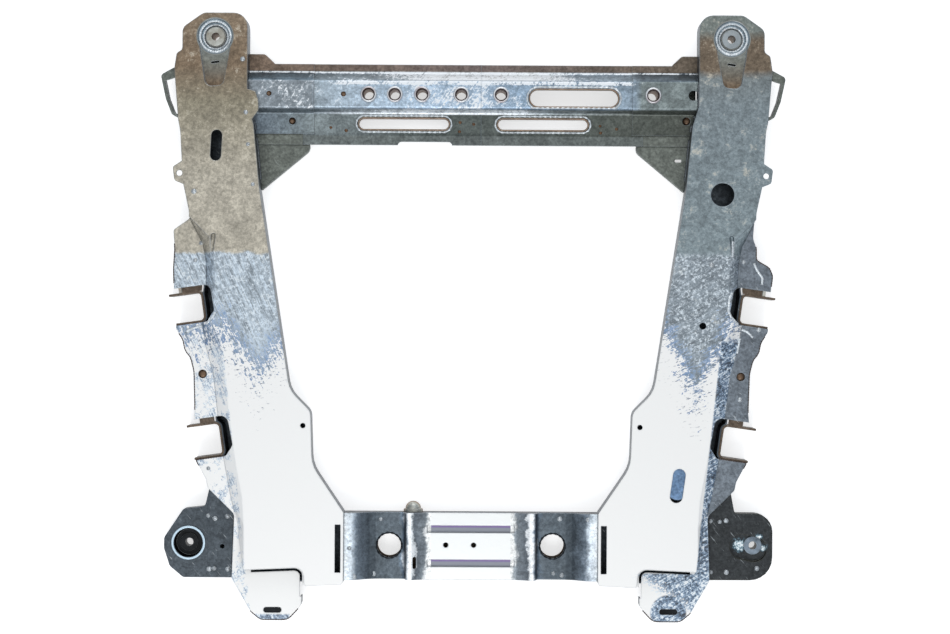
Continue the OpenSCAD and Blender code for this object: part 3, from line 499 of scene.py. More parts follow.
def streaked(tree, p, colour, side, tones, patch_from, tab_y):
    """The colour with streaks on the outer edge and on the rear tab."""
    streaks = put(tree, "ShaderNodeMapRange", {
        "Value": summed(tree, ((p.grit, 1.0), (p.scratch, 0.5), (p.clouds, 0.6))),
        "From Min": 0.7, "From Max": 1.4})
    # Partly painted reflection: the streak tones run from dark blue to white.
    tone = put(tree, "ShaderNodeValToRGB", {0: streaks},
               stops=list(zip((0.28, 0.4, 0.5, 0.58, 0.66), tones)))
    share = put(tree, "ShaderNodeMath", {
        0: edge_share(tree, p, side, patch_from), 1: tab_share(tree, p, side, streaks, tab_y)},
        operation="MAXIMUM")
    return put(tree, "ShaderNodeMix", {0: share, 6: colour, 7: tone}, data_type="RGBA").outputs[2]


print("streaks on the edges start", -edge_from, "mm behind the middle")

# %% [markdown]
# The cups at the front carry rings of painted highlight and painted shade, and the trough behind each cup,
# sunk below the top, is greyer. The rings lie about the axis of the mount, which is read off the sleeve that
# stands in the cup.


# %% Burnished cups
cup_reach = 33


def axis_of(name):
    """The middle of a solid seen from above, in mm."""
    low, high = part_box(name)
    return (low[0] + high[0]) / 2 / MM, (low[1] + high[1]) / 2 / MM


def cup_highlight_rings(tree, p, colour, cup):
    """The colour with painted highlight and shade rings round a front mount, and a greyer trough behind it.
    """
    cup_x, cup_y = cup
    top = cad_box[1].z
    reach = from_axis(tree, p, cup_x, cup_y)
    sunk = put(tree, "ShaderNodeMapRange", {
        "Value": p.z, "From Min": top - 0.6 * MM, "From Max": top - 1.8 * MM})
    at_head = put(tree, "ShaderNodeMath", {0: p.y, 1: (cup_y - 90) * MM}, operation="GREATER_THAN")
    trough = put(tree, "ShaderNodeMath", {0: sunk, 1: at_head}, operation="MULTIPLY")
    trough_tone = striped(tree, p.x, p.y, [(0, [
        (cup_y - 85, "#7d6b58"), (cup_y - 62, "#7b766c"), (cup_y - 35, "#82857f"), (cup_y, "#8f9a9f")])])
    trough_skin = mottled(tree, p, trough_tone, 0.2)
    pressed = put(tree, "ShaderNodeMix", {0: trough, 6: colour, 7: trough_skin}, data_type="RGBA")
    # Painted highlights and painted shade: bright and dark rings on the cup's walls.
    rings = striped(tree, p.x, reach, [(0, [
        (10, "#b5b8b2"), (17, "#a9aca6"), (18.5, "#3c4650"), (20.5, "#c8d4da"), (24, "#9fb0ba"),
        (26, "#4c5b66"), (27.5, "#8fa0ab"), (29, "#aebbc2"), (30.5, "#6d777c"), (32, "#9a9d98"),
        (cup_reach, "#6f6a60")])])
    ring_share = put(tree, "ShaderNodeMapRange", {
        "Value": reach, "From Min": (cup_reach + 0.5) * MM, "From Max": (cup_reach - 0.5) * MM})
    return put(tree, "ShaderNodeMix", {0: ring_share, 6: pressed.outputs[2], 7: rings},
               data_type="RGBA").outputs[2]


front_mounts = {side: axis_of(f"front_mount_sleeve_{side}") for side in ("left", "right")}
for side, place in front_mounts.items():
    print(side, "front mount at", rounded(place, 1), "mm")

# %% [markdown]
# The layers go on in order. Steep walls get painted shade, a plain dark tone, and where the glare is painted
# the zinc is less metallic, so that the painted white shows. The left rail is tan at the front, and the right
# one is greyer.


# %% Zinc skin for the rails
def rail_zinc(name, zones, front, lean, scour, cup, streak_tones, patch_from, tab_y):
    """Pressed galvanised sheet: zones along Y, painted glare at the rear, a streaked edge and tab, painted
    cup rings.
    """
    material, tree, output = blank_material(name)
    p = zinc_patterns(tree, lean, crystal_mm=9)
    along = wandering(tree, p, p.y, 4)
    zone = front_film_and_reflection(tree, p, zones, along)
    skin = scoured_middle(tree, p, zone, along, scour)
    behind = painted_glare_depth(tree, p, front)
    # The share of painted glare at the rear.
    white = put(tree, "ShaderNodeMapRange", {"Value": behind, "From Min": 0.0, "From Max": 7 * MM})
    colour = flecked(tree, p, with_painted_glare(tree, p, skin, behind, white), behind, white, lean)
    colour = streaked(tree, p, colour, math.copysign(1.0, cup[0]), streak_tones, patch_from, tab_y)
    # Painted highlight and shade rings in the cups, and painted shade on steep walls.
    colour = with_painted_wall_shade(tree, p, cup_highlight_rings(tree, p, colour, cup), "#50565b", 0.5, 0.2)
    # Less metallic where the glare is painted.
    metal = put(tree, "ShaderNodeMapRange", {"Value": white, "To Min": 0.9, "To Max": 0.15})
    zinc_shader(tree, output, p, colour, metal, 3.0, "#dfe7ec")
    return material


# The tan at the front of the zones is partly the film's own colour and partly painted dark reflection.
left_skin = rail_zinc("galvanised_sheet_tan_to_white", [
    (110, "#b4c0ca"), (114, "#bab4a6"), (240, "#b8b2a4"), (375, "#98917f"), (440, "#867562"),
    (530, "#90806d")],
    front=(-374, -104, 1.5, -30), lean=25, scour=1.1, cup=front_mounts["left"],
    streak_tones=("#4f5560", "#8496ab", "#a3b4c8", "#c6d3de", "#f1f6f8"), patch_from=0.76, tab_y=-521)
right_skin = rail_zinc("galvanised_sheet_grey_to_white", [
    (104, "#959fa7"), (118, "#8b989d"), (370, "#869196"), (422, "#81898b"), (436, "#7a6d5e"),
    (488, "#7a6d5e"), (505, "#7f8682")],
    front=(394, -132, 2.1, -2), lean=-60, scour=0.7, cup=front_mounts["right"],
    streak_tones=("#3f464f", "#5f7083", "#7f96b0", "#b4c8da", "#f1f6f8"), patch_from=0.0, tab_y=-446)
print("rail skins:", left_skin.name, "and", right_skin.name)

# %% [markdown]
# ## Hot-dip galvanised sheet, pressed: the front crossmember
#
# Seen from above, the crossmember is a row of strips: a rear flange, a low step, the top face, a slope and a
# front flange, brown partly from a film and partly from painted dark reflection. The top face is a bright,
# bluish silver with painted white glints, most of all near the middle, and its ends are duller. The white
# middles of the rear bend and of the front slope are painted highlights. So each strip has its own list of
# colours along X.

# %% Strips of the front crossmember
rear_flange = [(-400, "#737a79"), (400, "#686e6b")]
low_step = [(-400, "#616d78"), (-278, "#767f81"), (-100, "#535a58"), (400, "#535751")]
# Painted highlight: the white middle of the rear bend.
rear_bend = [(-278, "#808a90"), (-120, "#e9eff3"), (60, "#e9eff3"), (130, "#969fa2"), (300, "#6b706a")]
top_face = [(-284, "#9099a0"), (-276, "#acbac4"), (-60, "#bdd3e8"), (80, "#9db3c8"), (284, "#96a7b5"),
            (296, "#818b8b")]
# Painted highlight: the white middle of the front slope.
front_slope = [(-284, "#596872"), (-276, "#7a878f"), (-120, "#a6b1b8"), (-60, "#f0f4f6"), (110, "#f0f4f6"),
               (180, "#a1afba"), (284, "#808d97"), (296, "#5b666e")]
# The brown is partly a film and partly painted dark reflection.
front_flange = [(-400, "#7d6c5d"), (0, "#7a6e6a"), (400, "#716659")]
beam_strips = [(300, rear_flange), (321, low_step), (358, rear_bend), (366, top_face), (416, front_slope),
               (434, front_flange)]
print("front crossmember in", len(beam_strips), "strips, the last from y", beam_strips[-1][0], "mm")

# %% [markdown]
# A second set of strips, in greys, says how much of each is painted glint: glints stand where clouds, grit
# and scratches together rise over what a strip asks for. A third set draws dark blue lines of painted shade
# along both edges of the top face, where it bends.

# %% Glints and bend lines
none = "#000000"
painted_glint_strips = [
    (300, [(-400, "#101010"), (400, "#101010")]),
    (358, [(-230, "#202020"), (-170, "#c0c0c0"), (90, "#c0c0c0"), (130, "#202020")]),
    (366, [(-400, "#505050"), (-330, "#b4b4b4"), (-200, "#909090"), (-20, "#c4c4c4"), (130, "#909090"),
           (400, "#606060")]),
    (409, [(-280, "#a0a0a0"), (-200, "#d8d8d8"), (270, "#d8d8d8"), (300, "#808080")]),
    (416, [(-400, "#101010"), (-80, "#d0d0d0"), (140, "#d0d0d0"), (300, "#202020")]),
    (430.5, [(-200, "#d8d8d8"), (280, "#d8d8d8")]),
    (434, [(-400, none), (400, none)]),
]
# How dark the painted shade of the bend lines is, in greys across the strips.
bend_shade_depths = ((0, none), (365, "#8a8a8a"), (367.6, none), (415.5, "#b4b4b4"), (418, none))
bend_shade_strips = [(start, [(-400, none), (-200, none), (-180, depth), (220, depth), (250, none), (400, none)])
               for start, depth in bend_shade_depths]


def beam_painted_glints(tree, p):
    """How much of the skin is painted glint."""
    ask = striped(tree, p.y, p.x, painted_glint_strips)
    needed = put(tree, "ShaderNodeMapRange", {"Value": ask, "To Min": 1.75, "To Max": 0.9})
    trio = summed(tree, ((p.clouds, 1.0), (p.grit, 1.0), (p.scratch, 0.6)))
    over = put(tree, "ShaderNodeMath", {0: trio, 1: needed}, operation="SUBTRACT")
    return put(tree, "ShaderNodeMapRange", {"Value": over, "From Min": -0.03, "From Max": 0.09})


print("glints in", len(painted_glint_strips), "strips, bend lines in", len(bend_shade_strips))

# %% [markdown]
# The layers go on in order: the mottled strips, the painted glints, the painted shade of the bend lines, and
# painted shade in dark brown on the walls, such as those of the slots. Where glints are painted the zinc is
# less metallic, so that the painted white shows.


# %% Zinc skin for the front crossmember
def beam_zinc(name):
    """Pressed galvanised sheet in strips, with painted white glints near the middle of its top face."""
    material, tree, output = blank_material(name)
    p = zinc_patterns(tree, lean=-35, crystal_mm=11)
    glint = beam_painted_glints(tree, p)
    skin = mottled(tree, p, striped(tree, p.y, p.x, beam_strips), 0.26)
    # Painted highlight: near-white glints.
    pale = put(tree, "ShaderNodeMix", {0: glint, 6: skin, 7: linear("#f3f7fa")}, data_type="RGBA")
    # Painted shade: dark blue lines along the bends of the top face.
    lines = striped(tree, p.y, p.x, bend_shade_strips)
    shaded = put(tree, "ShaderNodeMix", {0: lines, 6: pale.outputs[2], 7: linear("#1f3c56")},
                 data_type="RGBA")
    # Painted shade in dark brown on steep walls, such as those of the slots.
    colour = with_painted_wall_shade(tree, p, shaded.outputs[2], "#5c4a3c", 0.2, 0.05)
    # Less metallic where glints are painted.
    metal = put(tree, "ShaderNodeMapRange", {"Value": glint, "To Min": 0.8, "To Max": 0.4})
    zinc_shader(tree, output, p, colour, metal, 2.0, "#d5e0e8")
    return material


beam_skin = beam_zinc("galvanised_sheet_scoured_beam")
print("crossmember skin:", beam_skin.name)

# %% [markdown]
# ## Hot-dip galvanised sheet, pressed: the rear crossmember
#
# Seen from above, its hollow ends mirror a dark room, its middle panel and the two ridges mirror the sky, and
# a bright strip runs beside each rail: these reflections are painted into the colour. The strips lie along X
# this time, alike on both sides of the middle, and their edges wander by a few millimetres. The two long
# grooves of the middle panel carry painted shade in purple-grey.


# %% Zinc skin for the rear crossmember
panel_half = 70
groove_from, groove_full = 47.6, 46.6


def rear_beam_zinc(name):
    """Pressed galvanised sheet with painted reflections in bands along the beam, and painted shade in the
    panel's grooves.
    """
    material, tree, output = blank_material(name)
    p = zinc_patterns(tree, lean=12, crystal_mm=10)
    from_middle = put(tree, "ShaderNodeMath", {0: wandering(tree, p, p.x, 9)}, operation="ABSOLUTE")
    # Painted reflection: dark hollow ends, bright panel, ridges and strips beside the rails.
    bands = striped(tree, p.y, from_middle, [(0, [
        (75, "#eff1f0"), (81, "#8d959b"), (98, "#6e767d"), (102, "#eef2f4"), (110, "#f3f5f6"),
        (117, "#6f7f8f"), (124, "#626c74"), (180, "#545d64"), (201, "#8a96a1"), (210, "#d2dde6"),
        (226, "#ecf3f7")])])
    in_panel = put(tree, "ShaderNodeMath", {0: p.x, 1: 0.0, 2: panel_half * MM}, operation="COMPARE")
    skin = put(tree, "ShaderNodeMix", {0: in_panel, 6: mottled(tree, p, bands, 0.24), 7: bands},
               data_type="RGBA").outputs[2]
    # Painted shade in the panel's grooves, purple-grey.
    groove = put(tree, "ShaderNodeMapRange", {
        "Value": p.z, "From Min": groove_from * MM, "From Max": groove_full * MM})
    film_and_shade = put(tree, "ShaderNodeMath", {0: in_panel, 1: groove}, operation="MULTIPLY")
    film_and_shade_tone = striped(tree, p.x, p.y, [(0, [
        (-437, "#8d919a"), (-431, "#8d919a"), (-428, "#8273a0"), (-422, "#96699f"), (-376, "#8d919a"),
        (-371, "#8d919a"), (-368, "#8273a0"), (-362, "#96699f")])])
    groove_shaded = put(tree, "ShaderNodeMix", {0: film_and_shade, 6: skin, 7: film_and_shade_tone}, data_type="RGBA")
    # Painted shade on steep walls.
    colour = with_painted_wall_shade(tree, p, groove_shaded.outputs[2], "#3a3f45", 0.5, 0.15)
    zinc_shader(tree, output, p, colour, 0.75, 3.0, "#dbe3e8")
    return material


rear_beam_skin = rear_beam_zinc("galvanised_sheet_rear_beam")
print("rear crossmember skin:", rear_beam_skin.name)

# %% [markdown]
# ## Dull galvanised sheet: outriggers, brackets, gussets, hooks and lower shells
#
# These pieces kept a dark, even zinc skin. It shows faint spangle, small pale nicks and thin scratches, with
# a painted highlight along the edges and painted shade on steep faces. One recipe with a few tones covers
# them.
# The dish of the right outrigger also has three painted glints round its sleeve, broken up by the grit.


# %% Dull zinc
def painted_glint_spot(tree, p, colour, spot):
    """The colour with a broken painted glint about a place. A spot is (x, y, radius) in mm."""
    x, y, radius = spot
    near = put(tree, "ShaderNodeMapRange", {
        "Value": from_axis(tree, p, x, y), "From Min": radius * MM, "From Max": 0.2 * radius * MM,
        "To Min": -0.35, "To Max": 0.12})
    broken = put(tree, "ShaderNodeMath", {0: near, 1: p.grit}, operation="ADD")
    shine = put(tree, "ShaderNodeMapRange", {"Value": broken, "From Min": 0.3, "From Max": 0.64})
    # Painted glint, from dark teal to near-white.
    glint = put(tree, "ShaderNodeValToRGB", {0: shine}, stops=[
        (0.1, "#3f4a50"), (0.5, "#5d7f92"), (0.75, "#b4cdd8"), (1.0, "#f2f8fa")])
    return put(tree, "ShaderNodeMix", {0: shine, 6: colour, 7: glint}, data_type="RGBA").outputs[2]


def dull_zinc(name, tone, nick, edge_highlight, glint_spots=()):
    """Dull galvanised sheet with small nicks, painted edge highlights, painted wall shade and painted glints.
    """
    material, tree, output = blank_material(name)
    p = zinc_patterns(tree, lean=40, crystal_mm=7)
    skin = mottled(tree, p, linear(tone)[:3], 0.24)
    nicks = put(tree, "ShaderNodeMapRange", {"Value": p.grit, "From Min": 0.69, "From Max": 0.75})
    lines = put(tree, "ShaderNodeMapRange", {
        "Value": p.scratch, "From Min": 0.66, "From Max": 0.74, "To Min": 0.0, "To Max": 0.6})
    marks = put(tree, "ShaderNodeMath", {0: nicks, 1: lines}, operation="MAXIMUM")
    colour = put(tree, "ShaderNodeMix", {0: marks, 6: skin, 7: linear(nick)}, data_type="RGBA").outputs[2]
    for spot in glint_spots:
        colour = painted_glint_spot(tree, p, colour, spot)
    # Painted shade: steep faces are darker.
    wall = put(tree, "ShaderNodeMapRange", {
        "Value": p.up, "From Min": 0.6, "From Max": 0.1, "To Min": 1.0, "To Max": 0.6})
    dimmed = put(tree, "ShaderNodeVectorMath", {0: colour, "Scale": wall}, operation="SCALE")
    zinc_shader(tree, output, p, dimmed, 0.85, 3.0, edge_highlight)
    return material


# The outriggers' dark tones are partly the dull zinc's own and partly painted shade, the right one darker.
left_outrigger_skin = dull_zinc("dull_galvanised_sheet_slate", "#4d545a", "#dfe5e8", "#9fabb5")
dish_x, dish_y = axis_of("rear_mount_sleeve_right")
right_outrigger_skin = dull_zinc("dull_galvanised_sheet_dark", "#393c3e", "#b9c0c4", "#7d7a6c", [
    (dish_x - 23, dish_y, 21), (dish_x + 10, dish_y + 15, 11), (dish_x + 19, dish_y - 4, 11)])
blue_film_skin = dull_zinc("dull_galvanised_sheet_blue_film", "#6b86a6", "#e9eff3", "#dfe7ec")
blue_grey_skin = dull_zinc("dull_galvanised_sheet_blue_grey", "#747c84", "#e9eff3", "#dfe7ec")
gusset_skin = dull_zinc("dull_galvanised_sheet_grey", "#70756f", "#b9c0bd", "#c6cdca")
bracket_skin = dull_zinc("dull_galvanised_sheet_brown_film", "#62564b", "#d8d2c8", "#b5a18c")
print("dull zinc in six tones, the dish at", round(dish_x), round(dish_y))

# %% [markdown]
# ## Turned steel: sleeves, tubes and nuts
#
# The sleeves that take the body bolts, the flanged tubes and the nuts are turned from bar. A lathe leaves
# fine rings round each axis, too fine for this picture, so a fine grain stands in for them. A little rust
# sits in the bores. The left rear sleeve and the cup round it are black, painted shade of the deep cup, and
# the cup has a bright rim, a painted highlight.


# %% Turned steel
def turned_steel(name, bright, film_and_shade_tone, rust, ring=None):
    """Turned steel with films in patches and rust on upright faces. A ring is (x, y, inner, outer, tone)."""
    material, tree, output = blank_material(name)
    p = zinc_patterns(tree, lean=0, crystal_mm=3)
    upright = put(tree, "ShaderNodeMapRange", {
        "Value": p.up, "From Min": 0.7, "From Max": 0.2, "To Min": 0.0, "To Max": 0.35})
    film_and_shade = put(tree, "ShaderNodeMath", {0: p.clouds, 1: upright}, operation="ADD")
    tones = put(tree, "ShaderNodeValToRGB", {0: film_and_shade}, stops=[
        (0.42, bright), (0.66, film_and_shade_tone), (0.85, rust)])
    colour = tones
    if ring:
        x, y, inner, outer, ring_tone = ring
        rim = put(tree, "ShaderNodeMath", {
            0: from_axis(tree, p, x, y), 1: (inner + outer) / 2 * MM, 2: (outer - inner) / 2 * MM},
            operation="COMPARE")
        colour = put(tree, "ShaderNodeMix", {0: rim, 6: colour, 7: linear(ring_tone)},
                     data_type="RGBA").outputs[2]
    zinc_shader(tree, output, p, colour, 0.95, 1.5, "#e3e6e4")
    return material


sleeve_steel = turned_steel("turned_steel", "#c9ccc6", "#9a958a", "#7d5f48")
grey_steel = turned_steel("turned_steel_grey_film", "#a7afb3", "#8a9296", "#7d6a58")
tube_steel = turned_steel("turned_steel_bright", "#f0f3f5", "#b7a9ad", "#7d5f48")
dark_steel = turned_steel("turned_steel_dark_film", "#8996a3", "#566069", "#3d3a34")
# Black steel: on the left rear sleeve and in its deep cup it is painted shade. The cup's bright rim is a
# painted highlight.
black_steel = turned_steel("turned_steel_black", "#26282a", "#1b1c1d", "#141414")
cup_steel = turned_steel("turned_steel_black_highlight_rim", "#26282a", "#1b1c1d", "#141414",
                         ring=(*axis_of("rear_mount_cup_left"), 25.5, 30, "#c3d8e6"))
print("turned steel in six states, from bright to greased")

# %% [markdown]
# ## Dress the solids
#
# Each solid takes the skin of its piece. The names of the solids say which piece they are.

# %% Which skin goes where
steels = {
    "front_mount_sleeve_left": sleeve_steel,
    "front_mount_sleeve_right": grey_steel,
    "spacer_tubes": tube_steel,
    "rear_mount_sleeve_left": black_steel,
    "rear_mount_sleeve_right": dark_steel,
    "rear_mount_cup_left": cup_steel,
}
skins = {}
for name in nodes:
    left = name.endswith("left")
    if name in steels:
        skins[name] = steels[name]
    elif name.endswith(("nuts", "nut")):
        skins[name] = sleeve_steel
    elif name.startswith("rail_upper"):
        skins[name] = left_skin if left else right_skin
    elif name.startswith("rail_shoulder"):
        skins[name] = left_skin if left else blue_grey_skin
    elif name.startswith("rear_crossmember_upper"):
        skins[name] = rear_beam_skin
    elif name.startswith(("front_crossmember_upper", "crossmember_end")):
        skins[name] = beam_skin
    elif name.startswith("outrigger"):
        skins[name] = left_outrigger_skin if left else right_outrigger_skin
    elif name.startswith("rail_lower"):
        skins[name] = left_outrigger_skin
    elif name.startswith(("corner_gusset", "tie_down_hook", "front_crossmember_lower")):
        skins[name] = gusset_skin
    else:
        skins[name] = bracket_skin
for name, skin in skins.items():
    nodes[name].data.materials.clear()
    nodes[name].data.materials.append(skin)
print("every one of", len(skins), "solids is dressed")

# %% [markdown]
# ## Spot welds
#
# Overlapping sheets are held by spot welds: a pair of round electrodes leaves a shallow dimple with a raised
# ring about 9 mm wide. Dozens of them could be modelled one by one, but each is the same stamp at another
# place, so a list of places is enough. A ray from above finds how high the sheet lies at each place, so every
# dimple sits on the metal that carries it.

# %% Where the spot welds are
spot_places = {
    "left_rail": [(-404, 451), (-398, 358), (-394, 302), (-385, 232), (-488, 219), (-477, 129), (-487, 99),
                  (-499, -26), (-462, -267)],
    "right_rail": [(419, 95), (477, 101), (504, -18), (472, -141)],
    "left_outrigger": [(-463, -351), (-451, -356), (-429, -352), (-461, -445), (-452, -444), (-428, -445)],
    "right_outrigger": [(423, -356), (439, -357), (450, -355), (424, -446), (451, -446), (505, -439)],
    "rear_beam": [(-199, -354), (-159, -356), (-213, -405), (-205, -455), (-171, -452), (157, -354),
                  (206, -353), (202, -454), (146, -450), (161, -453)],
}


def surface_tree():
    """All solids as one tree for rays."""
    corners, faces = [], []
    for node in nodes.values():
        first = len(corners)
        corners.extend(v.co.copy() for v in node.data.vertices)
        faces.extend([first + i for i in p.vertices] for p in node.data.polygons)
    return BVHTree.FromPolygons(corners, faces)


skin_rays = surface_tree()


def drop(x_mm, y_mm, level=0.9):
    """The point where a ray straight down meets a sheet that is level enough, or None."""
    hit, normal, _, _ = skin_rays.ray_cast(Vector((x_mm * MM, y_mm * MM, 1.0)), Vector((0, 0, -1)))
    return hit if hit and normal.z > level else None


def landed(places, level=0.9):
    """The points where rays straight down meet such a sheet."""
    hits = [drop(x, y, level) for x, y in places]
    return [hit for hit in hits if hit]


spot_points = [point for places in spot_places.values() for point in landed(places)]
print(len(spot_points), "of", sum(len(v) for v in spot_places.values()), "spot welds lie on flat sheet")

# %% [markdown]
# The stamp is a small turned body. Geometry Nodes puts a copy of it on every point, each turned and sized a
# little differently, and the result becomes a plain mesh, so that it can be handed on as a piece.


# %% Turned bodies
def linked(name, mesh):
    """An object in the scene."""
    made = bpy.data.objects.new(name, mesh)
    bpy.context.scene.collection.objects.link(made)
    return made


def plain_mesh(name, shape):
    """A mesh from a finished shape, with its faces turned outwards."""
    bmesh.ops.recalc_face_normals(shape, faces=shape.faces)
    mesh = bpy.data.meshes.new(name)
    shape.to_mesh(mesh)
    shape.free()
    return mesh


def turned_mesh(name, profile, turns=16):
    """A closed turned body from (radius, height) points in mm, from its top middle to its bottom middle."""
    shape = bmesh.new()
    around = [(math.cos(math.tau * i / turns), math.sin(math.tau * i / turns)) for i in range(turns)]
    rows = [[shape.verts.new((radius * MM * x, radius * MM * y, height * MM)) for x, y in around]
            for radius, height in profile[1:-1]]
    top = shape.verts.new((0, 0, profile[0][1] * MM))
    bottom = shape.verts.new((0, 0, profile[-1][1] * MM))
    for i in range(turns):
        j = (i + 1) % turns
        shape.faces.new((top, rows[0][i], rows[0][j]))
        for inner, outer in zip(rows, rows[1:]):
            shape.faces.new((inner[i], outer[i], outer[j], inner[j]))
        shape.faces.new((rows[-1][i], bottom, rows[-1][j]))
    mesh = plain_mesh(name, shape)
    for face in mesh.polygons:
        face.use_smooth = True
    return mesh


spot_profile = [(0, 0.18), (2.0, 0.25), (3.2, 0.7), (4.1, 0.5), (4.5, -0.2), (0, -0.2)]
print("a spot weld is", 2 * max(radius for radius, _ in spot_profile), "mm wide")


# %% Stamp the spot welds
def geometry_group(name, sockets):
    """A Geometry Nodes tree with its input node, and the identifiers of its sockets."""
    tree = bpy.data.node_groups.new(name, "GeometryNodeTree")
    tree.interface.new_socket("Geometry", in_out="INPUT", socket_type="NodeSocketGeometry")
    asked = [tree.interface.new_socket(title, in_out="INPUT", socket_type=kind) for title, kind in sockets]
    tree.interface.new_socket("Geometry", in_out="OUTPUT", socket_type="NodeSocketGeometry")
    return tree, put(tree, "NodeGroupInput"), [socket.identifier for socket in asked]


def give_out(tree, geometry, material):
    """The end of a tree: real geometry with its material."""
    real = put(tree, "GeometryNodeRealizeInstances", {0: geometry})
    finish = put(tree, "GeometryNodeSetMaterial", {0: real, "Material": material})
    put(tree, "NodeGroupOutput", {0: finish})


def grown(name, mesh, tree, settings):
    """What a tree makes of a mesh, as a plain mesh object."""
    worker = linked(name + "_worker", mesh)
    modifier = worker.modifiers.new("grow", "NODES")
    modifier.node_group = tree
    for identifier, value in settings:
        modifier[identifier] = value
    graph = bpy.context.evaluated_depsgraph_get()
    result = bpy.data.meshes.new_from_object(worker.evaluated_get(graph))
    result.name = name
    piece = linked(name, result)
    bpy.data.objects.remove(worker)
    return piece


def stamped(name, profile, points, material, seed):
    """A piece made of one turned body on every point, turned and sized at random."""
    tree, given, asked = geometry_group(name + "_tree", [
        ("Stamp", "NodeSocketObject"), ("Seed", "NodeSocketInt")])
    copy = put(tree, "GeometryNodeObjectInfo", {"Object": given.outputs["Stamp"]})
    turn = put(tree, "FunctionNodeRandomValue", {
        0: (0, 0, 0), 1: (0, 0, math.tau), "Seed": given.outputs["Seed"]}, data_type="FLOAT_VECTOR")
    size = put(tree, "FunctionNodeRandomValue", {
        2: 0.8, 3: 1.1, "Seed": given.outputs["Seed"]}, data_type="FLOAT")
    spread = put(tree, "GeometryNodeInstanceOnPoints", {
        "Points": given.outputs["Geometry"], "Instance": copy.outputs["Geometry"],
        "Rotation": turn.outputs["Value"], "Scale": size.outputs[1]})
    give_out(tree, spread, material)
    stamp = linked(name + "_stamp", turned_mesh(name + "_stamp", profile))
    cloud = bpy.data.meshes.new(name + "_points")
    cloud.from_pydata(points, [], [])
    piece = grown(name, cloud, tree, zip(asked, (stamp, seed)))
    bpy.data.objects.remove(stamp)
    return piece


# Painted glint: the spot welds are near-white.
weld_spot_skin = dull_zinc("spot_weld_painted_glint_zinc", "#cfd6da", "#f7f9f9", "#f2f5f6")
spot_welds = stamped("spot_welds", spot_profile, spot_points, weld_spot_skin, seed=7)
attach(spot_welds, "root")
print("spot welds:", len(spot_welds.data.polygons), "faces")

# %% [markdown]
# ## Rusty pips
#
# The low step of the front crossmember carries small rusty pips, about 5 mm wide, where pins located the
# sheet in the press. They use the same stamp, smaller and brown.

# %% Stamp the pips
pip_places = [(-251, 335), (-224, 330), (-24, 329), (-23, 345), (1, 342), (225, 328), (253, 335), (224, 340)]
pip_profile = [(0, 0.2), (1.4, 0.3), (2.2, 0.6), (2.8, 0.3), (3.0, -0.3), (0, -0.3)]
pip_points = landed(pip_places)
rust_skin = dull_zinc("locating_pip_rust", "#7a5b45", "#b08a6a", "#a07c60")
locating_pips = stamped("locating_pips", pip_profile, pip_points, rust_skin, seed=5)
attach(locating_pips, "root")
print("locating pips:", len(pip_points), "of", len(pip_places))

# %% [markdown]
# ## Captive nuts
#
# Some holes show rusty metal from above, because a captive nut sits under them. The nuts are turned, so they
# are stamped like the welds. A ray finds the top of the sheet beside each hole, and the sheet is 2.5 mm
# thick.

# %% Nuts under the holes
sheet_thickness = 2.5 * MM


def under_sheet(x_mm, y_mm, aside_mm):
    """The point under a hole where the sheet's lower face lies, read beside the hole along Y."""
    return Vector((x_mm * MM, y_mm * MM, drop(x_mm, y_mm + aside_mm).z - sheet_thickness))


nut_places = [(-473, -101, 12), (473, -101, 12), (-361, 392, 12), (-228, 392, 12), (-321, 346, -12),
              (378, 349, -12)]
nut_profile = [(0, 0), (10.5, 0), (10.5, -4), (7.5, -9), (0, -9)]
nut_skin = dull_zinc("captive_nut_rusty_film", "#75604f", "#b79a7f", "#a98a70")
nut_points = [under_sheet(*place) for place in nut_places]
captive_nuts = stamped("captive_nuts", nut_profile, nut_points, nut_skin, seed=3)
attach(captive_nuts, "root")
print("captive nuts:", len(captive_nuts.data.polygons), "faces")

# %% [markdown]
# ## Backing plates
#
# The slots in the rear tabs and the long hole in the right rail show a small plate under the sheet. A plate
# is a slot outline with a thickness, so a few lines that join two rims are simpler than a modifier.


# %% Plates under the slots
plate_thickness = 2


def slot_outline(length, width, turns=12):
    """Points round a slot with round ends, in mm, about its middle."""
    half = (length - width) / 2
    ends = [(half, -90), (-half, 90)]
    return [(x + width / 2 * math.cos(math.radians(start + 180 * i / turns)),
             width / 2 * math.sin(math.radians(start + 180 * i / turns)))
            for x, start in ends for i in range(turns + 1)]


def backing_plate(name, place, outline, material):
    """A plate under a hole, with its upper face at a place."""
    shape = bmesh.new()
    upper, lower = ([shape.verts.new(place + Vector((x * MM, y * MM, -depth * MM))) for x, y in outline]
                    for depth in (0, plate_thickness))
    shape.faces.new(upper)
    shape.faces.new(lower[::-1])
    for i in range(len(outline)):
        j = (i + 1) % len(outline)
        shape.faces.new((upper[j], upper[i], lower[i], lower[j]))
    plate = linked(name, plain_mesh(name, shape))
    plate.data.materials.append(material)
    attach(plate, "root")
    print(name, "at", rounded(place))


for side, x in (("left", -tab_x), ("right", tab_x)):
    backing_plate(f"tab_backing_{side}", under_sheet(x, -515, 9), slot_outline(42, 17), black_steel)
kidney_outline = [(-y, x) for x, y in slot_outline(84, 44)]
backing_plate("kidney_backing", under_sheet(362, -275, 48), kidney_outline, blue_film_skin)

# %% [markdown]
# ## Weld seams
#
# The outriggers, the gussets and the front crossmember are joined to the rails by arc-welded seams. Each seam
# lies in the corner between a flat sheet and a wall, so two rays find it: one drops on the sheet, and one
# looks sideways from there for the wall.


# %% Where the seams run
ray_height, ray_reach = 3 * MM, 60 * MM


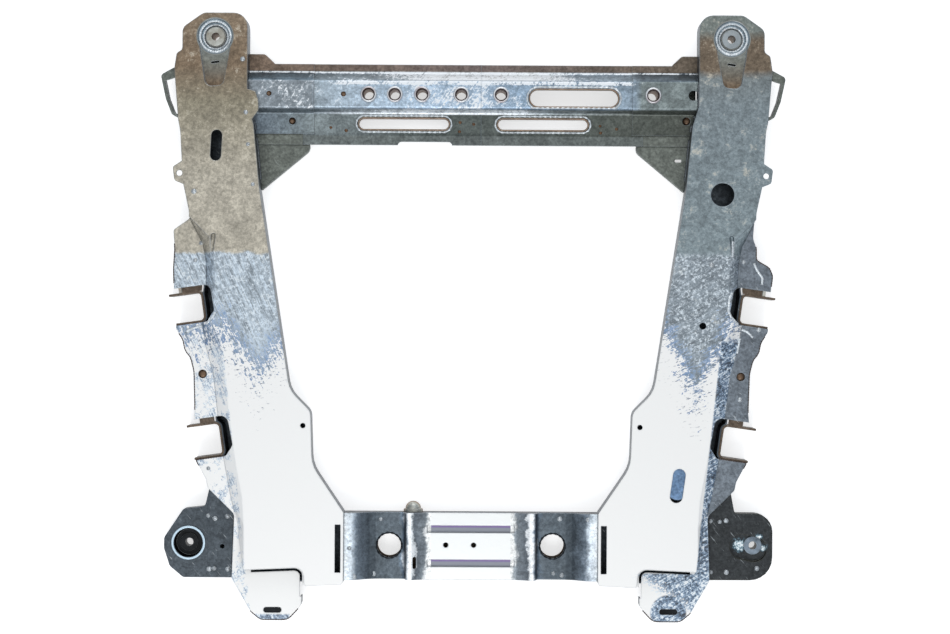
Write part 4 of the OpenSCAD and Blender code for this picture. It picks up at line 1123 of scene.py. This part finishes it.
def corner_seam(start, end, towards, count=24):
    """Points in the corner between a flat sheet and the wall that a sideways ray meets, in metres."""
    found = []
    for i in range(count + 1):
        share = i / count
        x, y = (a + (b - a) * share for a, b in zip(start, end))
        sheet = drop(x, y)
        if not sheet:
            continue
        above = sheet + Vector((0, 0, ray_height))
        wall, _, _, _ = skin_rays.ray_cast(above, Vector((towards, 0, 0)), ray_reach)
        if wall:
            found.append(Vector((wall.x, wall.y, sheet.z)))
    return found


seams = {
    "outrigger_left": corner_seam((-427, -456), (-425, -350), 1),
    "outrigger_right": corner_seam((427, -456), (425, -350), -1),
    "gusset_left": corner_seam((-366, 316), (-352, 240), -1),
    "gusset_right": corner_seam((366, 316), (352, 240), 1),
    "beam_top_left": corner_seam((-372, 372), (-372, 412), -1),
    "beam_top_right": corner_seam((372, 372), (372, 412), 1),
    "beam_step_left": corner_seam((-372, 330), (-372, 362), -1),
    "beam_step_right": corner_seam((372, 330), (372, 362), 1),
}
for name, points in seams.items():
    print(name, len(points), "points")

# %% [markdown]
# A seam is a bead about 5 mm wide with a ripple every few millimetres, where each drop of metal froze. It
# could be a plain swept circle, but the ripple is what the eye looks for. Geometry Nodes sweeps a circle
# along each path and lets a wave on the length of the path swell and shrink the radius.


# %% Sweep the beads
steps_per_ripple = 6.0


def bead_tree(name, material):
    """Geometry Nodes: sweep a circle along the paths, with a radius that swells at every ripple."""
    tree, given, asked = geometry_group(name, [
        (title, "NodeSocketFloat") for title in ("Bead radius", "Ripple pitch", "Ripple depth")])
    path = put(tree, "GeometryNodeMeshToCurve", {0: given.outputs["Geometry"]})
    step = put(tree, "ShaderNodeMath", {0: given.outputs["Ripple pitch"], 1: steps_per_ripple},
               operation="DIVIDE")
    fine = put(tree, "GeometryNodeResampleCurve", {"Curve": path, "Length": step}, mode="LENGTH")
    along = put(tree, "GeometryNodeSplineParameter")
    ripples = put(tree, "ShaderNodeMath", {0: along.outputs["Length"], 1: given.outputs["Ripple pitch"]},
                  operation="DIVIDE")
    turn = put(tree, "ShaderNodeMath", {0: ripples, 1: math.tau}, operation="MULTIPLY")
    wave = put(tree, "ShaderNodeMath", {0: turn}, operation="SINE")
    swell = put(tree, "ShaderNodeMath", {0: wave, 1: given.outputs["Ripple depth"], 2: 1.0},
                operation="MULTIPLY_ADD")
    thick = put(tree, "ShaderNodeMath", {0: swell, 1: given.outputs["Bead radius"]}, operation="MULTIPLY")
    circle = put(tree, "GeometryNodeCurvePrimitiveCircle", {"Resolution": 10, "Radius": 1.0})
    tube = put(tree, "GeometryNodeCurveToMesh", {
        "Curve": fine, "Profile Curve": circle, "Scale": thick, "Fill Caps": True})
    give_out(tree, tube, material)
    return tree, asked


def beaded(name, paths, closed, material, sizes):
    """A piece swept along paths of points. Sizes are the bead radius, and the ripple's pitch and depth."""
    points, edges = [], []
    for path in paths:
        first = len(points)
        points.extend(path)
        edges.extend((i, i + 1) for i in range(first, len(points) - 1))
        if closed:
            edges.append((len(points) - 1, first))
    mesh = bpy.data.meshes.new(name + "_paths")
    mesh.from_pydata(points, edges, [])
    tree, asked = bead_tree(name + "_tree", material)
    return grown(name, mesh, tree, zip(asked, sizes))


bead_radius = 2.6 * MM
ripple_pitch = 4.5 * MM
seam_skin = dull_zinc("arc_weld_bead_steel", "#64686b", "#c3c7c9", "#a9afb3")
weld_seams = beaded("weld_seams", seams.values(), False, seam_skin, (bead_radius, ripple_pitch, 0.16))
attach(weld_seams, "root")
print("weld seams:", len(weld_seams.data.polygons), "faces")

# %% [markdown]
# ## Rolled lips of the long slots
#
# The rims of the three long slots in the front crossmember are rolled, so a hose doesn't chafe on them. From
# above the roll shows as a bright line, a painted highlight, with a brown painted shadow inside. It follows
# the outline of the slot, so the same sweep serves, with closed paths: a brown lip of painted shadow at the
# edge and a bright rim of painted highlight beside it. Each point of a path is dropped on the sheet beside
# the slot.

# %% Roll the lips
lip_reach, rim_reach = 1.2, 5.0
wide_pitch = 9 * MM
_, beam_y = axis_of("spacer_tubes")
long_slots = [((177, beam_y - 5.5), (155, 29)), ((-122, beam_y - 50.5), (158, 18)),
              ((123, beam_y - 50.5), (158, 18))]


def around_slots(reach):
    """Paths round the long slots, a reach in mm outside their edges."""
    return [landed((x + dx, y + dy) for dx, dy in slot_outline(length + 2 * reach, width + 2 * reach))
            for (x, y), (length, width) in long_slots]


# Painted shadow in brown on the lips, and a painted highlight on the rims.
lip_skin = dull_zinc("rolled_lip_brown_shade", "#8b7461", "#efe9df", "#e6ded2")
highlight_rim_skin = dull_zinc("rolled_rim_painted_highlight", "#dfe6ea", "#ffffff", "#ffffff")
slot_lips = beaded("slot_lips", around_slots(lip_reach), True, lip_skin, (1.5 * MM, ripple_pitch, 0.0))
slot_rims = beaded("slot_rims", around_slots(rim_reach), True, highlight_rim_skin, (1.7 * MM, wide_pitch, 0.3))
print("lips and rims round", len(long_slots), "slots")

# %% [markdown]
# ## Painted highlight rims and dark rims
#
# The rims of the notches, two rings in each front cup and a few short ridges on the shoulders carry bright
# beads of painted highlight as well, and the two round access holes of the rear crossmember have a dark
# rolled rim. They are lines on the sheet, so the same sweep serves once more.

# %% Rims of notches, cups and access holes
# Painted highlights: bright beads along notch rims, cup rings and shoulder ridges.
highlight_lines = {
    "notch_right": [(455, 46), (450, 38), (448, 15), (453, 4), (466, -9)],
    "notch_left": [(-449, 8), (-453, 0), (-464, -12)],
    "shoulder_left": [(-502, -26), (-488, -20), (-474, -17)],
    "shoulder_right": [(474, -18), (484, -22), (494, -32)],
    "squiggle_right": [(495, 99), (500, 87), (510, 73), (509, 61)],
    "bead_right": [(456, 137), (455, 109)],
    "blob_right": [(471, -33), (466, -60)],
}


def circle_points(x, y, radius, turns=40):
    """Points once round a circle in mm, the last on the first."""
    angles = [math.tau * i / turns for i in range(turns + 1)]
    return [(x + radius * math.cos(angle), y + radius * math.sin(angle)) for angle in angles]


for side, (x, y) in front_mounts.items():
    for radius in (21.5, 27):
        highlight_lines[f"cup_{side}_{radius}"] = circle_points(x, y, radius)
steepest = 0.2
highlight_paths = {name: landed(line, steepest) for name, line in highlight_lines.items()}
rubbed_rims = beaded("rubbed_rims", highlight_paths.values(), False, highlight_rim_skin, (bead_radius, ripple_pitch, 0.12))

_, rear_beam_y = axis_of("rear_crossmember_upper")
access_paths = [landed(circle_points(x, rear_beam_y, 22.4)[:-1], steepest) for x in (-144, 144)]
dark_rim_skin = dull_zinc("rolled_rim_dark_film", "#24282c", "#7d8890", "#4a525a")
access_rims = beaded("access_rims", access_paths, True, dark_rim_skin, (1.5 * MM, wide_pitch, 0.3))
for piece in (slot_lips, slot_rims, rubbed_rims, access_rims):
    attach(piece, "root")
    print(piece.name, len(piece.data.polygons), "faces")
for name, line in highlight_paths.items():
    print(name, "at heights", sorted({round(p.z / MM) for p in line}))

# %% [markdown]
# ## Dark edge lines
#
# The outer edges of the shoulder plates and of the rear tabs carry thin dark brown lines of painted shade. A
# ray from outside finds each edge, and the same sweep lays a thin bead on it.


# %% Trace the raw edges
def edge_points(starts, way, reach=0.3):
    """Points where rays from outside first meet the part."""
    hits = [skin_rays.ray_cast(start, way, reach)[0] for start in starts]
    return [hit for hit in hits if hit]


beside_part, behind_part = 0.6, -0.62
under_top = 1 * MM
shoulder_z = drop(-473, -80).z - under_top
tab_z = drop(-tab_x, -500).z - under_top
shoulder_runs = ((128, 58), (-30, -164), (-236, -262))
edge_shade_paths = []
for side in (-1, 1):
    for first, last in shoulder_runs:
        rows = [first + (last - first) * i / 20 for i in range(21)]
        starts = [Vector((side * beside_part, y * MM, shoulder_z)) for y in rows]
        edge_shade_paths.append(edge_points(starts, Vector((-side, 0, 0))))
    columns = [side * (303 + 4 * i) for i in range(22)]
    starts = [Vector((x * MM, behind_part, tab_z)) for x in columns]
    edge_shade_paths.append(edge_points(starts, Vector((0, 1, 0))))
# Painted shade: a dark brown bead along each outer edge.
edge_shade_skin = dull_zinc("sheet_edge_painted_shade", "#4d4441", "#8a7a6c", "#6d6058")
raw_hems = beaded("raw_hems", edge_shade_paths, False, edge_shade_skin, (1.3 * MM, ripple_pitch, 0.1))
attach(raw_hems, "root")
print("raw hems:", [len(path) for path in edge_shade_paths], "points")
